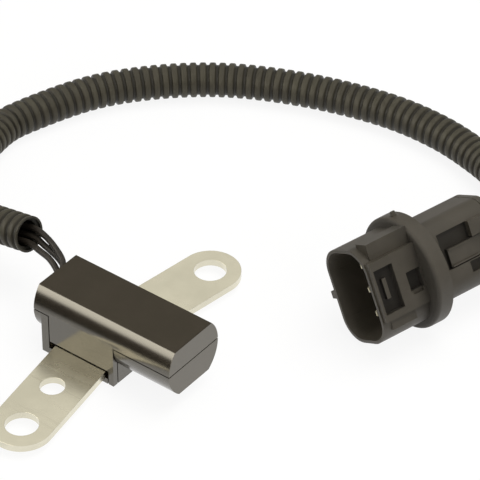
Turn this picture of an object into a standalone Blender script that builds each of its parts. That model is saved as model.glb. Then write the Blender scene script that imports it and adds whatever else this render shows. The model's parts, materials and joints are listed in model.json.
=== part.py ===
"""Crankshaft position sensor with its harness.

A barrel-shaped housing in two half shells sits on a swept steel bracket. Three leads
leave its wire end and run through a convoluted loom to a three-way male connector.
The origin is on the surface that the boss rests on, under the middle of the housing.
+X runs along the housing to its sensing end, and the bracket's arms run along Y.
"""

import math

import bmesh
import bpy
from mathutils import Matrix, Vector

MM = 0.001

# Clearance between pieces that meet, and wider ones that the pieces need.
GAP = 0.3 * MM
LEAD_CLEARANCE = 0.4 * MM
SLOT_PLAY = 0.9 * MM

# Housing: a round barrel with a flat along its top and its bottom.
HOUSING_LENGTH = 44.2 * MM
BARREL_RADIUS = 9.9 * MM
AXIS_HEIGHT = 12.5 * MM
TOP_FLAT_RISE = 6.7 * MM
BOTTOM_FLAT_DROP = 7.9 * MM
SHELL_WALL = 1.8 * MM
SENSING_WALL = 1.2 * MM
WIRE_END_WALL = 2.5 * MM

# Boss under the barrel, and the skirt that the upper shell hangs over its flanks.
BOSS_BACK = 19.7 * MM
BOSS_FRONT = 3.9 * MM
TAB_LENGTH = 2.6 * MM
SKIRT_WALL = 1.6 * MM
SKIRT_FOOT = 1.6 * MM

# Bracket: a flat plate with two arms swept towards the sensing end.
PLATE_THICKNESS = 2.0 * MM
PLATE_UNDERSIDE = 1.9 * MM
PLATE_WIDTH = 16.4 * MM
PLATE_APEX_X = -8.4 * MM
BOLT_X = -2.5 * MM
BOLT_SPACING = 76.2 * MM
BOLT_HOLE = 8.7 * MM
LOCATING_HOLE = 6.6 * MM
LOCATING_INSET = 15.9 * MM
LOCATING_SHIFT = 0.75 * MM

# Sensing stack on the barrel's axis, from the sensing end back.
CHIP_THICKNESS = 1.6 * MM
CHIP_WIDTH = 4.2 * MM
CHIP_HEIGHT = 3.2 * MM
LEG_SIDE = 0.45 * MM
LEG_PITCH = 1.27 * MM
POLE_RADIUS = 1.8 * MM
POLE_LENGTH = 5.0 * MM
MAGNET_RADIUS = 2.6 * MM
MAGNET_LENGTH = 5.0 * MM
CARRIER_WALL = 0.6 * MM

# Board and what it carries.
BOARD_LENGTH = 15.0 * MM
BOARD_WIDTH = 10.6 * MM
BOARD_THICKNESS = 1.0 * MM
BOARD_DROP = 2.5 * MM
BOARD_RIB = 1.6 * MM
CAPACITOR_SIZE = (3.2 * MM, 1.7 * MM, 1.4 * MM)
RESISTOR_SIZE = (2.0 * MM, 1.3 * MM, 0.6 * MM)
CRIMP_RADIUS = 1.0 * MM
CRIMP_LENGTH = 3.6 * MM
CRIMP_TAIL = 2.2 * MM
CRIMP_PITCH = 3.0 * MM

# Grommet in the wire end, with three bores on a circle.
GROMMET_Y = 2.2 * MM
GROMMET_RISE = 0.9 * MM
GROMMET_RADIUS = 3.4 * MM
GROMMET_LIP = 0.6 * MM
GROMMET_LIP_DEPTH = 1.2 * MM
GROMMET_BORE_CIRCLE = 1.8 * MM

# Leads and loom.
LEAD_DIAMETER = 1.7 * MM
LOOM_DIAMETER = 9.8 * MM
LOOM_ROOT_DIAMETER = 8.4 * MM
LOOM_WALL = 0.6 * MM
LOOM_PITCH = 2.7 * MM
LOOM_MOUTH_RINGS = 4
LOOM_STEP = 2.0

# Connector, in its own frame: x from the flange's front face to the rear.
CONNECTOR_X = 46.0 * MM
CONNECTOR_Y = 55.5 * MM
CONNECTOR_YAW = 75.5
CONNECTOR_ROLL = -30.0
SHROUD_LENGTH = 15.0 * MM
SHROUD_HEIGHT = 25.8 * MM
SHROUD_WIDTH = 18.0 * MM
SHROUD_CORNER = 6.5 * MM
SHROUD_WALL = 1.6 * MM
FLANGE_DIAMETER = 31.0 * MM
FLANGE_THICKNESS = 4.7 * MM
FLANGE_FILLET = 1.1 * MM
FLANGE_NUB = 1.2 * MM
FLANGE_NUB_TURN = 6.0
REAR_LENGTH = 20.3 * MM
REAR_HEIGHT = 22.0 * MM
REAR_WIDTH = 17.0 * MM
REAR_CORNER = 5.0 * MM
REAR_WALL = 2.0 * MM
SOCKET_DEPTH = 16.5 * MM
WEB_THICKNESS = 8.0 * MM
PIN_PITCH = 6.6 * MM
PIN_WIDTH = 2.3 * MM
PIN_THICKNESS = 0.8 * MM
PIN_SETBACK = 4.5 * MM
PIN_BARREL = 1.1 * MM
PIN_TAIL = 4.0 * MM
PIN_LOCK_HEIGHT = 18.4 * MM
PIN_LOCK_WIDTH = 5.4 * MM
PIN_SHOULDER = 2.4 * MM
SEAL_LENGTH = 5.0 * MM
CAP_THICKNESS = 1.8 * MM
CAP_PLUG = 2.6 * MM
SPIGOT_LENGTH = 3.0 * MM
SPIGOT_BORE = 5.6 * MM
COLLAR_LENGTH = 8.0 * MM
COLLAR_WALL = 1.4 * MM

# Latch housing on the connector's long side, with its two pockets, the bump that the
# plug's latch rides over, the rails beside it, and the key rib on the other side.
LATCH_RISE = 1.3 * MM
LATCH_LOW = -6.8 * MM
LATCH_HIGH = 9.3 * MM
LATCH_SETBACK = 0.4 * MM
LATCH_POCKET = (6.0 * MM, 12.0 * MM)
LATCH_POCKET_CENTRE = 1.0 * MM
LATCH_POCKET_SETBACK = 1.1 * MM
LATCH_POCKET_DEPTH = 2.0 * MM
LATCH_BUMP = (1.2 * MM, 5.5 * MM)
LATCH_BUMP_RISE = 1.0 * MM
LATCH_WINDOW = (4.4 * MM, 5.2 * MM)
LATCH_WINDOW_SETBACK = 0.4 * MM
RAIL_SETBACK = 2.4 * MM
RAIL_TOP = 13.7 * MM
RAIL_SIDE = 8.5 * MM
RAIL_WIDTH = 4.5 * MM
LOWER_RAIL_LENGTH = 8.0 * MM
LOWER_RAIL_DROP = 9.6 * MM
KEY_RIB_WIDTH = 2.0 * MM
KEY_RIB_RISE = 1.7 * MM
KEY_RIB_LENGTH = 6.0 * MM

# Pin lock in the rear body's side: a recess with a bar across it, a tab that holds the
# bar, and a small pocket under it for the release tool.
LOCK_RECESS = (13.5 * MM, 10.0 * MM)
LOCK_RECESS_START = 3.8 * MM
LOCK_RECESS_LOW = -2.5 * MM
LOCK_RECESS_DEPTH = 1.3 * MM
LOCK_BAR_HEIGHT = 5.0 * MM
LOCK_BAR_START = 2.0 * MM
LOCK_TAB = (6.7 * MM, 4.2 * MM)
LOCK_TAB_RISE = 1.0 * MM
LOCK_POCKET = (6.0 * MM, 3.2 * MM)

AROUND = 40
SMALL_AROUND = 20


# Materials

def material(name, colour, roughness, metallic=0.0):
    mat = bpy.data.materials.new(name)
    mat.use_nodes = True
    shader = mat.node_tree.nodes["Principled BSDF"]
    shader.inputs["Base Color"].default_value = (*colour, 1.0)
    shader.inputs["Roughness"].default_value = roughness
    shader.inputs["Metallic"].default_value = metallic
    return mat


# Outlines, as lists of points in a plane

def circle(radius, count=AROUND, centre=(0.0, 0.0)):
    steps = (2 * math.pi * i / count for i in range(count))
    return [(centre[0] + radius * math.cos(a), centre[1] + radius * math.sin(a)) for a in steps]


def box_outline(width, height, centre=(0.0, 0.0)):
    x, y = centre
    w, h = width / 2, height / 2
    return [(x - w, y - h), (x + w, y - h), (x + w, y + h), (x - w, y + h)]


def rounded_box(width, height, radius, count=7, centre=(0.0, 0.0)):
    outline = []
    corners = ((1, 1, 0.0), (-1, 1, 0.5), (-1, -1, 1.0), (1, -1, 1.5))
    for sx, sy, turn in corners:
        cx = centre[0] + sx * (width / 2 - radius)
        cy = centre[1] + sy * (height / 2 - radius)
        for i in range(count + 1):
            angle = math.pi * (turn + 0.5 * i / count)
            outline.append((cx + radius * math.cos(angle), cy + radius * math.sin(angle)))
    return outline


def half_barrel(radius, flat, seam, side, count=14):
    """Half of a round section from the seam up (side 1) or down (side -1), cut off by the
    flat where that lies inside the round."""
    start = math.asin(seam / radius)
    crown = flat >= radius
    stop = math.pi / 2 if crown else math.asin(flat / radius)
    angles = [start + (stop - start) * i / count for i in range(count + 1)]
    right = [(radius * math.cos(a), side * radius * math.sin(a)) for a in angles]
    left = [(-y, z) for y, z in reversed(right[:-1] if crown else right)]
    return [(y, AXIS_HEIGHT + z) for y, z in right + left]


def swept_plate(width, apex_x, count=16):
    """Outline of two round-ended arms that meet in a point on Y = 0."""
    bolt_y = BOLT_SPACING / 2
    sweep = math.atan2(BOLT_X - PLATE_APEX_X, bolt_y)
    half = width / 2
    arm = [(apex_x + half / math.cos(sweep), 0.0)]
    centre_x = apex_x + BOLT_X - PLATE_APEX_X
    for i in range(count + 1):
        angle = -sweep + math.pi * i / count
        arm.append((centre_x + half * math.cos(angle), bolt_y + half * math.sin(angle)))
    arm.append((apex_x - half / math.cos(sweep), 0.0))
    mirrored = [(x, -y) for x, y in reversed(arm[1:-1])]
    return arm + mirrored


# Solids

def prism(outline, axis, low, high):
    """A closed solid: the outline extruded along one axis from low to high."""
    place = {
        "X": lambda a, b, c: (c, a, b),
        "Y": lambda a, b, c: (a, c, b),
        "Z": lambda a, b, c: (a, b, c),
    }[axis]
    bm = bmesh.new()
    start = [bm.verts.new(place(a, b, low)) for a, b in outline]
    end = [bm.verts.new(place(a, b, high)) for a, b in outline]
    bm.faces.new(start)
    bm.faces.new(end)
    for i in range(len(outline)):
        j = (i + 1) % len(outline)
        bm.faces.new((start[i], start[j], end[j], end[i]))
    bmesh.ops.recalc_face_normals(bm, faces=bm.faces)
    return bm


def block(x, y, z):
    """A box between the two limits that each axis is given."""
    outline = [(x[0], y[0]), (x[1], y[0]), (x[1], y[1]), (x[0], y[1])]
    return prism(outline, "Z", z[0], z[1])


def turned(profile, count=AROUND):
    """A ring turned about the X axis from a closed profile of (x, radius) points."""
    bm = bmesh.new()
    verts = [bm.verts.new((x, 0.0, r)) for x, r in profile]
    edges = [bm.edges.new((verts[i], verts[(i + 1) % len(verts)])) for i in range(len(verts))]
    bmesh.ops.spin(
        bm,
        geom=verts + edges,
        cent=(0.0, 0.0, 0.0),
        axis=(1.0, 0.0, 0.0),
        angle=2 * math.pi,
        steps=count,
        use_merge=True,
    )
    bmesh.ops.remove_doubles(bm, verts=bm.verts, dist=1e-7)
    bmesh.ops.recalc_face_normals(bm, faces=bm.faces)
    return bm


def piece(name, solid, mat=None):
    mesh = bpy.data.meshes.new(name)
    solid.to_mesh(mesh)
    solid.free()
    if mat:
        mesh.materials.append(mat)
    obj = bpy.data.objects.new(name, mesh)
    bpy.context.scene.collection.objects.link(obj)
    return obj


def combine(target, operation, solids):
    """Cuts the solids from a piece, or joins them to it, one after the other."""
    for solid in solids:
        tool = piece("tool", solid)
        step = target.modifiers.new("step", "BOOLEAN")
        step.operation = operation
        step.solver = "EXACT"
        step.object = tool
        with bpy.context.temp_override(object=target, active_object=target):
            bpy.ops.object.modifier_apply(modifier=step.name)
        bpy.data.objects.remove(tool)
    return target


def cut(target, *solids):
    return combine(target, "DIFFERENCE", solids)


def join(target, *solids):
    return combine(target, "UNION", solids)


def smooth(obj, angle=35.0):
    obj.data.shade_smooth()
    obj.data.set_sharp_from_angle(angle=math.radians(angle))
    return obj


def through(points, sub):
    """Points of a smooth curve through the given ones, sub of them to each stretch."""
    p = [Vector(q) for q in points]
    p = [2 * p[0] - p[1]] + p + [2 * p[-1] - p[-2]]
    curve = []
    for a, b, c, d in zip(p, p[1:], p[2:], p[3:]):
        for i in range(sub):
            t = i / sub
            bend = (2 * a - 5 * b + 4 * c - d) * t * t + (3 * b - a - 3 * c + d) * t ** 3
            curve.append((2 * b + (c - a) * t + bend) / 2)
    curve.append(p[-2])
    return curve


def spaced(points, step):
    """Points an even step apart along a curve, its two ends kept."""
    run = [0.0]
    for a, b in zip(points, points[1:]):
        run.append(run[-1] + (b - a).length)
    count = max(2, round(run[-1] / step))
    result = []
    k = 0
    for i in range(count + 1):
        at = run[-1] * i / count
        while k < len(run) - 2 and run[k + 1] < at:
            k += 1
        share = (at - run[k]) / (run[k + 1] - run[k])
        result.append(points[k].lerp(points[k + 1], share))
    return result


def tube(name, points, diameter, resolution, mat):
    """A plain round tube along the points, closed at both ends."""
    curve = bpy.data.curves.new(name, "CURVE")
    curve.dimensions = "3D"
    spline = curve.splines.new("POLY")
    spline.points.add(len(points) - 1)
    for spot, p in zip(spline.points, points):
        spot.co = (*p, 1.0)
    curve.bevel_depth = diameter / 2
    curve.bevel_resolution = resolution
    curve.use_fill_caps = True
    curve.materials.append(mat)
    obj = bpy.data.objects.new(name, curve)
    bpy.context.scene.collection.objects.link(obj)
    return obj


# Scene

for old in list(bpy.data.objects):
    bpy.data.objects.remove(old)

housing_plastic = material("housing_plastic", (0.045, 0.038, 0.030), 0.42)
bracket_steel = material("bracket_steel", (0.52, 0.50, 0.42), 0.38, 1.0)
chip_epoxy = material("chip_epoxy", (0.02, 0.02, 0.02), 0.5)
soft_iron = material("soft_iron", (0.45, 0.45, 0.45), 0.35, 1.0)
magnet_alloy = material("magnet_alloy", (0.18, 0.18, 0.19), 0.3, 1.0)
carrier_nylon = material("carrier_nylon", (0.55, 0.53, 0.46), 0.5)
board_laminate = material("board_laminate", (0.03, 0.16, 0.07), 0.45)
ceramic = material("ceramic", (0.42, 0.27, 0.14), 0.4)
resistor_film = material("resistor_film", (0.05, 0.05, 0.06), 0.35)
crimp_brass = material("crimp_brass", (0.70, 0.55, 0.25), 0.3, 1.0)
seal_rubber = material("seal_rubber", (0.03, 0.03, 0.03), 0.7)
lead_jacket = material("lead_jacket", (0.035, 0.028, 0.022), 0.45)
loom_plastic = material("loom_plastic", (0.055, 0.052, 0.038), 0.5)
connector_plastic = material("connector_plastic", (0.05, 0.046, 0.036), 0.45)
pin_plating = material("pin_plating", (0.86, 0.76, 0.50), 0.25, 1.0)
lock_plastic = material("lock_plastic", (0.03, 0.027, 0.022), 0.5)

# Places that follow from the sizes

sensing_face = HOUSING_LENGTH / 2
wire_face = -HOUSING_LENGTH / 2
cavity_front = sensing_face - SENSING_WALL
cavity_back = wire_face + WIRE_END_WALL
upper_cavity = BARREL_RADIUS - SHELL_WALL
lower_cavity = BARREL_RADIUS - SKIRT_WALL - GAP - SHELL_WALL
cavity_top = TOP_FLAT_RISE - SHELL_WALL
cavity_floor = BOTTOM_FLAT_DROP - SHELL_WALL
plate_top = PLATE_UNDERSIDE + PLATE_THICKNESS
slot_top = plate_top + GAP
slot_floor = PLATE_UNDERSIDE - GAP
skirt_back = -BOSS_BACK + TAB_LENGTH
skirt_inner = BARREL_RADIUS - SKIRT_WALL
foot_back = BOSS_FRONT - SKIRT_FOOT
seam = GAP / 2

grommet_centre = (GROMMET_Y, AXIS_HEIGHT + GROMMET_RISE)
grommet_bore = LEAD_DIAMETER / 2 + LEAD_CLEARANCE
lip_radius = GROMMET_RADIUS + GROMMET_LIP
lip_front = cavity_back + GAP + GROMMET_LIP_DEPTH


def grommet_hole(index):
    """Middle of one of the grommet's three bores; the first is the upper one."""
    angle = math.pi / 2 + index * 2 * math.pi / 3
    y = grommet_centre[0] + GROMMET_BORE_CIRCLE * math.cos(angle)
    z = grommet_centre[1] + GROMMET_BORE_CIRCLE * math.sin(angle)
    return y, z


def grommet_seats():
    """The hole in the end wall for the grommet's neck, and the groove for its lip."""
    neck = circle(GROMMET_RADIUS + GAP, AROUND, grommet_centre)
    lip = circle(lip_radius + GAP, AROUND, grommet_centre)
    return (
        prism(neck, "X", wire_face - GAP, cavity_back + GAP),
        prism(lip, "X", cavity_back, lip_front + GAP),
    )


# Upper shell: half barrel, hollow, with a skirt down each flank of the boss. Beside
# the bracket each skirt has a foot that reaches the rest surface.

upper_shell = piece(
    "upper_shell",
    prism(half_barrel(BARREL_RADIUS, TOP_FLAT_RISE, seam, 1), "X", wire_face, sensing_face),
    housing_plastic,
)
for side in (-1, 1):
    flank = sorted((side * skirt_inner, side * BARREL_RADIUS))
    join(
        upper_shell,
        block((skirt_back, BOSS_FRONT), flank, (slot_top, AXIS_HEIGHT + 1.0 * MM)),
        block((foot_back, BOSS_FRONT), flank, (0.0, slot_top + 1.0 * MM)),
    )
cut(
    upper_shell,
    prism(half_barrel(upper_cavity, cavity_top, 0.0, 1), "X", cavity_back, cavity_front),
    *grommet_seats(),
)

# Lower shell: half barrel joined to the boss, with recesses for the skirts, the slot
# that holds the bracket, and ribs that carry the board.

lower_shell = piece(
    "lower_shell",
    prism(half_barrel(BARREL_RADIUS, BOTTOM_FLAT_DROP, seam, -1), "X", wire_face, sensing_face),
    housing_plastic,
)
join(
    lower_shell,
    block((-BOSS_BACK, BOSS_FRONT), (-BARREL_RADIUS, BARREL_RADIUS), (0.0, AXIS_HEIGHT - seam)),
)
recess_inner = skirt_inner - GAP
beyond = BARREL_RADIUS + 1.0 * MM
for side in (-1, 1):
    flank = sorted((side * recess_inner, side * beyond))
    cut(
        lower_shell,
        block((skirt_back - GAP, BOSS_FRONT + GAP), flank, (slot_floor + GAP, AXIS_HEIGHT)),
        block((foot_back - GAP, BOSS_FRONT + GAP), flank, (-GAP, slot_top)),
    )
slot_width = PLATE_WIDTH + GAP + SLOT_PLAY
slot_apex = PLATE_APEX_X + (SLOT_PLAY - GAP) / 2
cut(
    lower_shell,
    prism(half_barrel(lower_cavity, cavity_floor, 0.0, -1), "X", cavity_back, cavity_front),
    *grommet_seats(),
    prism(swept_plate(slot_width, slot_apex), "Z", slot_floor, slot_top),
)

# Sensing stack: chip against the sensing wall, slug and magnet in their carrier.

chip_front = cavity_front - GAP
chip_back = chip_front - CHIP_THICKNESS
carrier_front = chip_back - GAP
pole_back = carrier_front - POLE_LENGTH
magnet_front = pole_back - GAP
magnet_back = magnet_front - MAGNET_LENGTH
carrier_top = MAGNET_RADIUS + GAP + CARRIER_WALL
leg_low = AXIS_HEIGHT + carrier_top + GAP
board_front = magnet_back - GAP
board_back = board_front - BOARD_LENGTH
board_top = AXIS_HEIGHT - BOARD_DROP
leg_foot = board_front - 2.0 * MM

hall_sensor = piece(
    "hall_sensor",
    block(
        (chip_back, chip_front),
        (-CHIP_WIDTH / 2, CHIP_WIDTH / 2),
        (AXIS_HEIGHT - CHIP_HEIGHT / 2, AXIS_HEIGHT + CHIP_HEIGHT / 2),
    ),
    chip_epoxy,
)
leg_front = (chip_back + chip_front) / 2 + LEG_SIDE / 2
for k in (-1, 0, 1):
    width = (k * LEG_PITCH - LEG_SIDE / 2, k * LEG_PITCH + LEG_SIDE / 2)
    join(
        hall_sensor,
        block((leg_front - LEG_SIDE, leg_front), width, (AXIS_HEIGHT, leg_low + LEG_SIDE)),
        block((leg_foot, leg_front), width, (leg_low, leg_low + LEG_SIDE)),
        block((leg_foot, leg_foot + LEG_SIDE), width, (board_top + GAP, leg_low + LEG_SIDE)),
    )

pole_piece = piece(
    "pole_piece",
    prism(circle(POLE_RADIUS, SMALL_AROUND, (0.0, AXIS_HEIGHT)), "X", pole_back, carrier_front),
    soft_iron,
)
bias_magnet = piece(
    "bias_magnet",
    prism(circle(MAGNET_RADIUS, SMALL_AROUND, (0.0, AXIS_HEIGHT)), "X", magnet_back, magnet_front),
    magnet_alloy,
)

carrier_half = lower_cavity - GAP
magnet_carrier = piece(
    "magnet_carrier",
    prism(half_barrel(carrier_half, cavity_floor - GAP, 0.0, -1), "X", magnet_back, carrier_front),
    carrier_nylon,
)
join(
    magnet_carrier,
    block(
        (magnet_back, carrier_front),
        (-carrier_top, carrier_top),
        (AXIS_HEIGHT - 1.0 * MM, AXIS_HEIGHT + carrier_top),
    ),
)
cut(
    magnet_carrier,
    prism(circle(MAGNET_RADIUS + GAP, SMALL_AROUND, (0.0, AXIS_HEIGHT)), "X",
          magnet_back - GAP, magnet_front + GAP / 2),
    prism(circle(POLE_RADIUS + GAP, SMALL_AROUND, (0.0, AXIS_HEIGHT)), "X",
          magnet_back - GAP, carrier_front + GAP),
)

# Board in a groove along each wall of the lower shell and on two ribs, with its
# capacitor, resistor and three crimps.

board_under = board_top - BOARD_THICKNESS
groove_half = BOARD_WIDTH / 2 + GAP
cut(
    lower_shell,
    block((board_back - GAP, board_front + GAP), (-groove_half, groove_half),
          (board_under - GAP, board_top + GAP)),
)
circuit_board = piece(
    "circuit_board",
    block((board_back, board_front), (-BOARD_WIDTH / 2, BOARD_WIDTH / 2), (board_under, board_top)),
    board_laminate,
)
for share in (0.2, 0.8):
    middle = board_back + share * BOARD_LENGTH
    join(
        lower_shell,
        block(
            (middle - BOARD_RIB / 2, middle + BOARD_RIB / 2),
            (-BOARD_WIDTH / 4, BOARD_WIDTH / 4),
            (AXIS_HEIGHT - cavity_floor - SHELL_WALL / 2, board_under - GAP),
        ),
    )
smooth(upper_shell)
smooth(lower_shell)


def on_board(name, size, x, y, mat):
    length, width, height = size
    low = board_top + GAP
    part = piece(
        name,
        block((x - length / 2, x + length / 2), (y - width / 2, y + width / 2), (low, low + height)),
        mat,
    )
    return part


board_middle = (board_back + board_front) / 2
filter_capacitor = on_board(
    "filter_capacitor", CAPACITOR_SIZE, board_middle + 1.5 * MM, BOARD_WIDTH / 4, ceramic)
pull_up_resistor = on_board(
    "pull_up_resistor", RESISTOR_SIZE, board_middle + 1.5 * MM, -BOARD_WIDTH / 4, resistor_film)

crimp_height = board_top + GAP + CRIMP_RADIUS
crimp_back = board_back + 1.0 * MM
crimp_front = crimp_back + CRIMP_LENGTH
for name, k in (("crimp_ground", -1), ("crimp_signal", 0), ("crimp_power", 1)):
    y = k * CRIMP_PITCH
    crimp = piece(
        name,
        prism(circle(CRIMP_RADIUS, SMALL_AROUND, (y, crimp_height)), "X", crimp_back, crimp_front),
        crimp_brass,
    )
    join(
        crimp,
        block(
            (crimp_front - 1.0 * MM, crimp_front + CRIMP_TAIL),
            (y - CRIMP_RADIUS / 2, y + CRIMP_RADIUS / 2),
            (board_top + GAP, board_top + GAP + CRIMP_RADIUS / 2),
        ),
    )
    smooth(crimp)

# Grommet: a neck in the end wall and a lip behind it, with a bore for each lead.

wire_grommet = piece(
    "wire_grommet",
    prism(circle(GROMMET_RADIUS, AROUND, grommet_centre), "X", wire_face, cavity_back + GAP),
    seal_rubber,
)
join(
    wire_grommet,
    prism(circle(lip_radius, AROUND, grommet_centre), "X", cavity_back + GAP, lip_front),
)
for k in range(3):
    cut(
        wire_grommet,
        prism(circle(grommet_bore, SMALL_AROUND, grommet_hole(k)), "X",
              wire_face - GAP, lip_front + GAP),
    )
smooth(wire_grommet)

# Bracket: the swept plate with a bolt hole in each end and a locating hole.

bolt_y = BOLT_SPACING / 2
sweep = math.atan2(BOLT_X - PLATE_APEX_X, bolt_y)
locating = (
    BOLT_X - LOCATING_INSET * math.sin(sweep) - LOCATING_SHIFT * math.cos(sweep),
    -bolt_y + LOCATING_INSET * math.cos(sweep) - LOCATING_SHIFT * math.sin(sweep),
)
mounting_bracket = piece(
    "mounting_bracket",
    prism(swept_plate(PLATE_WIDTH, PLATE_APEX_X), "Z", PLATE_UNDERSIDE, plate_top),
    bracket_steel,
)
for centre, hole in (
    ((BOLT_X, bolt_y), BOLT_HOLE),
    ((BOLT_X, -bolt_y), BOLT_HOLE),
    (locating, LOCATING_HOLE),
):
    cut(
        mounting_bracket,
        prism(circle(hole / 2, AROUND, centre), "Z", PLATE_UNDERSIDE - GAP, plate_top + GAP),
    )
smooth(mounting_bracket)

# Loom mouth: an open, ringed end that the leads enter. Its frame's x runs into the loom.

mouth_centre = Vector((-38.9 * MM, 8.4 * MM, 17.0 * MM))
mouth_run = Vector((-0.976, 0.046, -0.21)).normalized()
mouth_turn = mouth_run.to_track_quat("X", "Z")
mouth_length = LOOM_MOUTH_RINGS * LOOM_PITCH
crest = LOOM_DIAMETER / 2
root = LOOM_ROOT_DIAMETER / 2
ring = ((0.0, crest), (0.32, crest), (0.5, root), (0.82, root))
outer_wave = []
for k in range(LOOM_MOUTH_RINGS):
    outer_wave += [((k + share) * LOOM_PITCH, radius) for share, radius in ring]
outer_wave.append((mouth_length, crest))
inner_wave = [(x, radius - LOOM_WALL) for x, radius in reversed(outer_wave)]
loom_mouth = piece("loom_mouth", turned(outer_wave + inner_wave, 28), loom_plastic)
loom_mouth.rotation_euler = mouth_turn.to_euler()
loom_mouth.location = mouth_centre
smooth(loom_mouth)

# Leads: from the crimps through the grommet, over to the mouth and along its floor.
# Each has its bore, its crimp, free points in between and its place inside the mouth.

lead_start = crimp_back - GAP
grommet_inside = lip_front + 1.0 * MM
in_wall = (lip_front + wire_face) / 2
outside = wire_face - 0.3 * MM
in_mouth = root - LOOM_WALL - LEAD_DIAMETER / 2 - GAP
lead_routes = {
    "lead_signal": (0, 0, -188.0, (
        (-25.3 * MM, 5.6 * MM, 16.6 * MM),
        (-29.5 * MM, 7.9 * MM, 17.2 * MM),
        (-34.4 * MM, 10.0 * MM, 17.2 * MM),
    )),
    "lead_ground": (1, -1, -76.0, (
        (-25.2 * MM, 3.4 * MM, 14.3 * MM),
        (-29.4 * MM, 5.4 * MM, 15.2 * MM),
        (-34.2 * MM, 6.8 * MM, 14.9 * MM),
    )),
    "lead_power": (2, 1, -132.0, (
        (-25.4 * MM, 6.1 * MM, 14.4 * MM),
        (-29.6 * MM, 7.9 * MM, 14.8 * MM),
        (-34.6 * MM, 9.1 * MM, 15.1 * MM),
    )),
}
for name, (hole, crimp_place, mouth_angle, free_points) in lead_routes.items():
    hole_y, hole_z = grommet_hole(hole)
    start = Vector((lead_start, crimp_place * CRIMP_PITCH, crimp_height))
    straight = start - Vector((1.2 * MM, 0.0, 0.0))
    reach = Vector((grommet_inside, hole_y, hole_z))
    route = [start, straight, straight.lerp(reach, 0.5), reach]
    route += [Vector((in_wall, hole_y, hole_z)), Vector((outside, hole_y, hole_z))]
    route += [Vector(p) for p in free_points]
    around = math.radians(mouth_angle)
    for depth in (0.0, mouth_length / 2, mouth_length - GAP):
        inside = Vector((depth, in_mouth * math.cos(around), in_mouth * math.sin(around)))
        route.append(mouth_centre + mouth_turn @ inside)
    tube(name, through(route, 2), LEAD_DIAMETER, 2, lead_jacket)

# Loom: the closed run from its mouth, down to the surface and round to the connector.

connector_centre = Vector((CONNECTOR_X, CONNECTOR_Y, FLANGE_DIAMETER / 2 + 0.1 * MM))
yaw = Matrix.Rotation(math.radians(CONNECTOR_YAW), 4, "Z")
roll = Matrix.Rotation(math.radians(CONNECTOR_ROLL), 4, "X")
connector_frame = Matrix.Translation(connector_centre) @ yaw @ roll

rear_face = FLANGE_THICKNESS + REAR_LENGTH
cap_rear = rear_face + GAP + CAP_THICKNESS
spigot_end = cap_rear + SPIGOT_LENGTH
loom_end = connector_frame @ Vector((spigot_end + GAP, 0.0, 0.0))
loom_back = (connector_frame.to_3x3() @ Vector((1.0, 0.0, 0.0))).normalized()

loom_start = mouth_centre + mouth_run * (mouth_length + GAP)
loom_straight = 5.0 * MM
loom_points = [
    loom_start + mouth_run * loom_straight,
    (-59.5 * MM, 11.6 * MM, 12.3 * MM),
    (-71.6 * MM, 20.0 * MM, 9.2 * MM),
    (-80.6 * MM, 33.0 * MM, 6.4 * MM),
    (-84.9 * MM, 49.0 * MM, 5.1 * MM),
    (-83.1 * MM, 60.2 * MM, 5.0 * MM),
    (-76.0 * MM, 78.3 * MM, 5.0 * MM),
    (-65.5 * MM, 92.5 * MM, 5.0 * MM),
    (-52.7 * MM, 104.0 * MM, 5.0 * MM),
    (-38.7 * MM, 112.0 * MM, 5.0 * MM),
    (-22.2 * MM, 118.3 * MM, 5.0 * MM),
    (-4.5 * MM, 122.3 * MM, 5.0 * MM),
    (12.0 * MM, 122.6 * MM, 5.0 * MM),
    (27.1 * MM, 119.6 * MM, 5.1 * MM),
    (41.0 * MM, 113.0 * MM, 7.2 * MM),
    (50.6 * MM, 104.6 * MM, 11.6 * MM),
    loom_end + loom_back * COLLAR_LENGTH,
]
loom_curve = spaced(through(loom_points, 8), LOOM_STEP * LOOM_DIAMETER)
tube("loom", [loom_start] + loom_curve + [loom_end], LOOM_DIAMETER, 4, loom_plastic)

# Connector shell: shroud round the pins, flange, and the rear body behind it.


def in_connector(obj):
    obj.matrix_world = connector_frame
    return obj


shroud_face = -SHROUD_LENGTH
socket_floor = shroud_face + SOCKET_DEPTH
web_back = socket_floor + WEB_THICKNESS
shroud_inner_corner = SHROUD_CORNER - SHROUD_WALL
connector_shell = piece(
    "connector_shell",
    prism(rounded_box(SHROUD_WIDTH, SHROUD_HEIGHT, SHROUD_CORNER), "X", shroud_face, 0.5 * MM),
    connector_plastic,
)
side_face = -SHROUD_WIDTH / 2
latch_face = side_face - LATCH_RISE
rail_start = shroud_face + RAIL_SETBACK
rail_low = SHROUD_HEIGHT / 2 - SHROUD_CORNER
join(
    connector_shell,
    block((shroud_face + LATCH_SETBACK, 0.5 * MM), (latch_face, side_face + 2.0 * MM),
          (LATCH_LOW, LATCH_HIGH)),
    block((rail_start, 0.5 * MM), (-RAIL_SIDE, RAIL_WIDTH - RAIL_SIDE), (rail_low, RAIL_TOP)),
    block((rail_start, rail_start + LOWER_RAIL_LENGTH), (side_face, side_face + 2.0 * MM),
          (-LOWER_RAIL_DROP, LATCH_LOW + 1.0 * MM)),
    block((shroud_face, shroud_face + KEY_RIB_LENGTH),
          (-side_face - 1.0 * MM, -side_face + KEY_RIB_RISE),
          (-KEY_RIB_WIDTH / 2, KEY_RIB_WIDTH / 2)),
)

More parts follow.
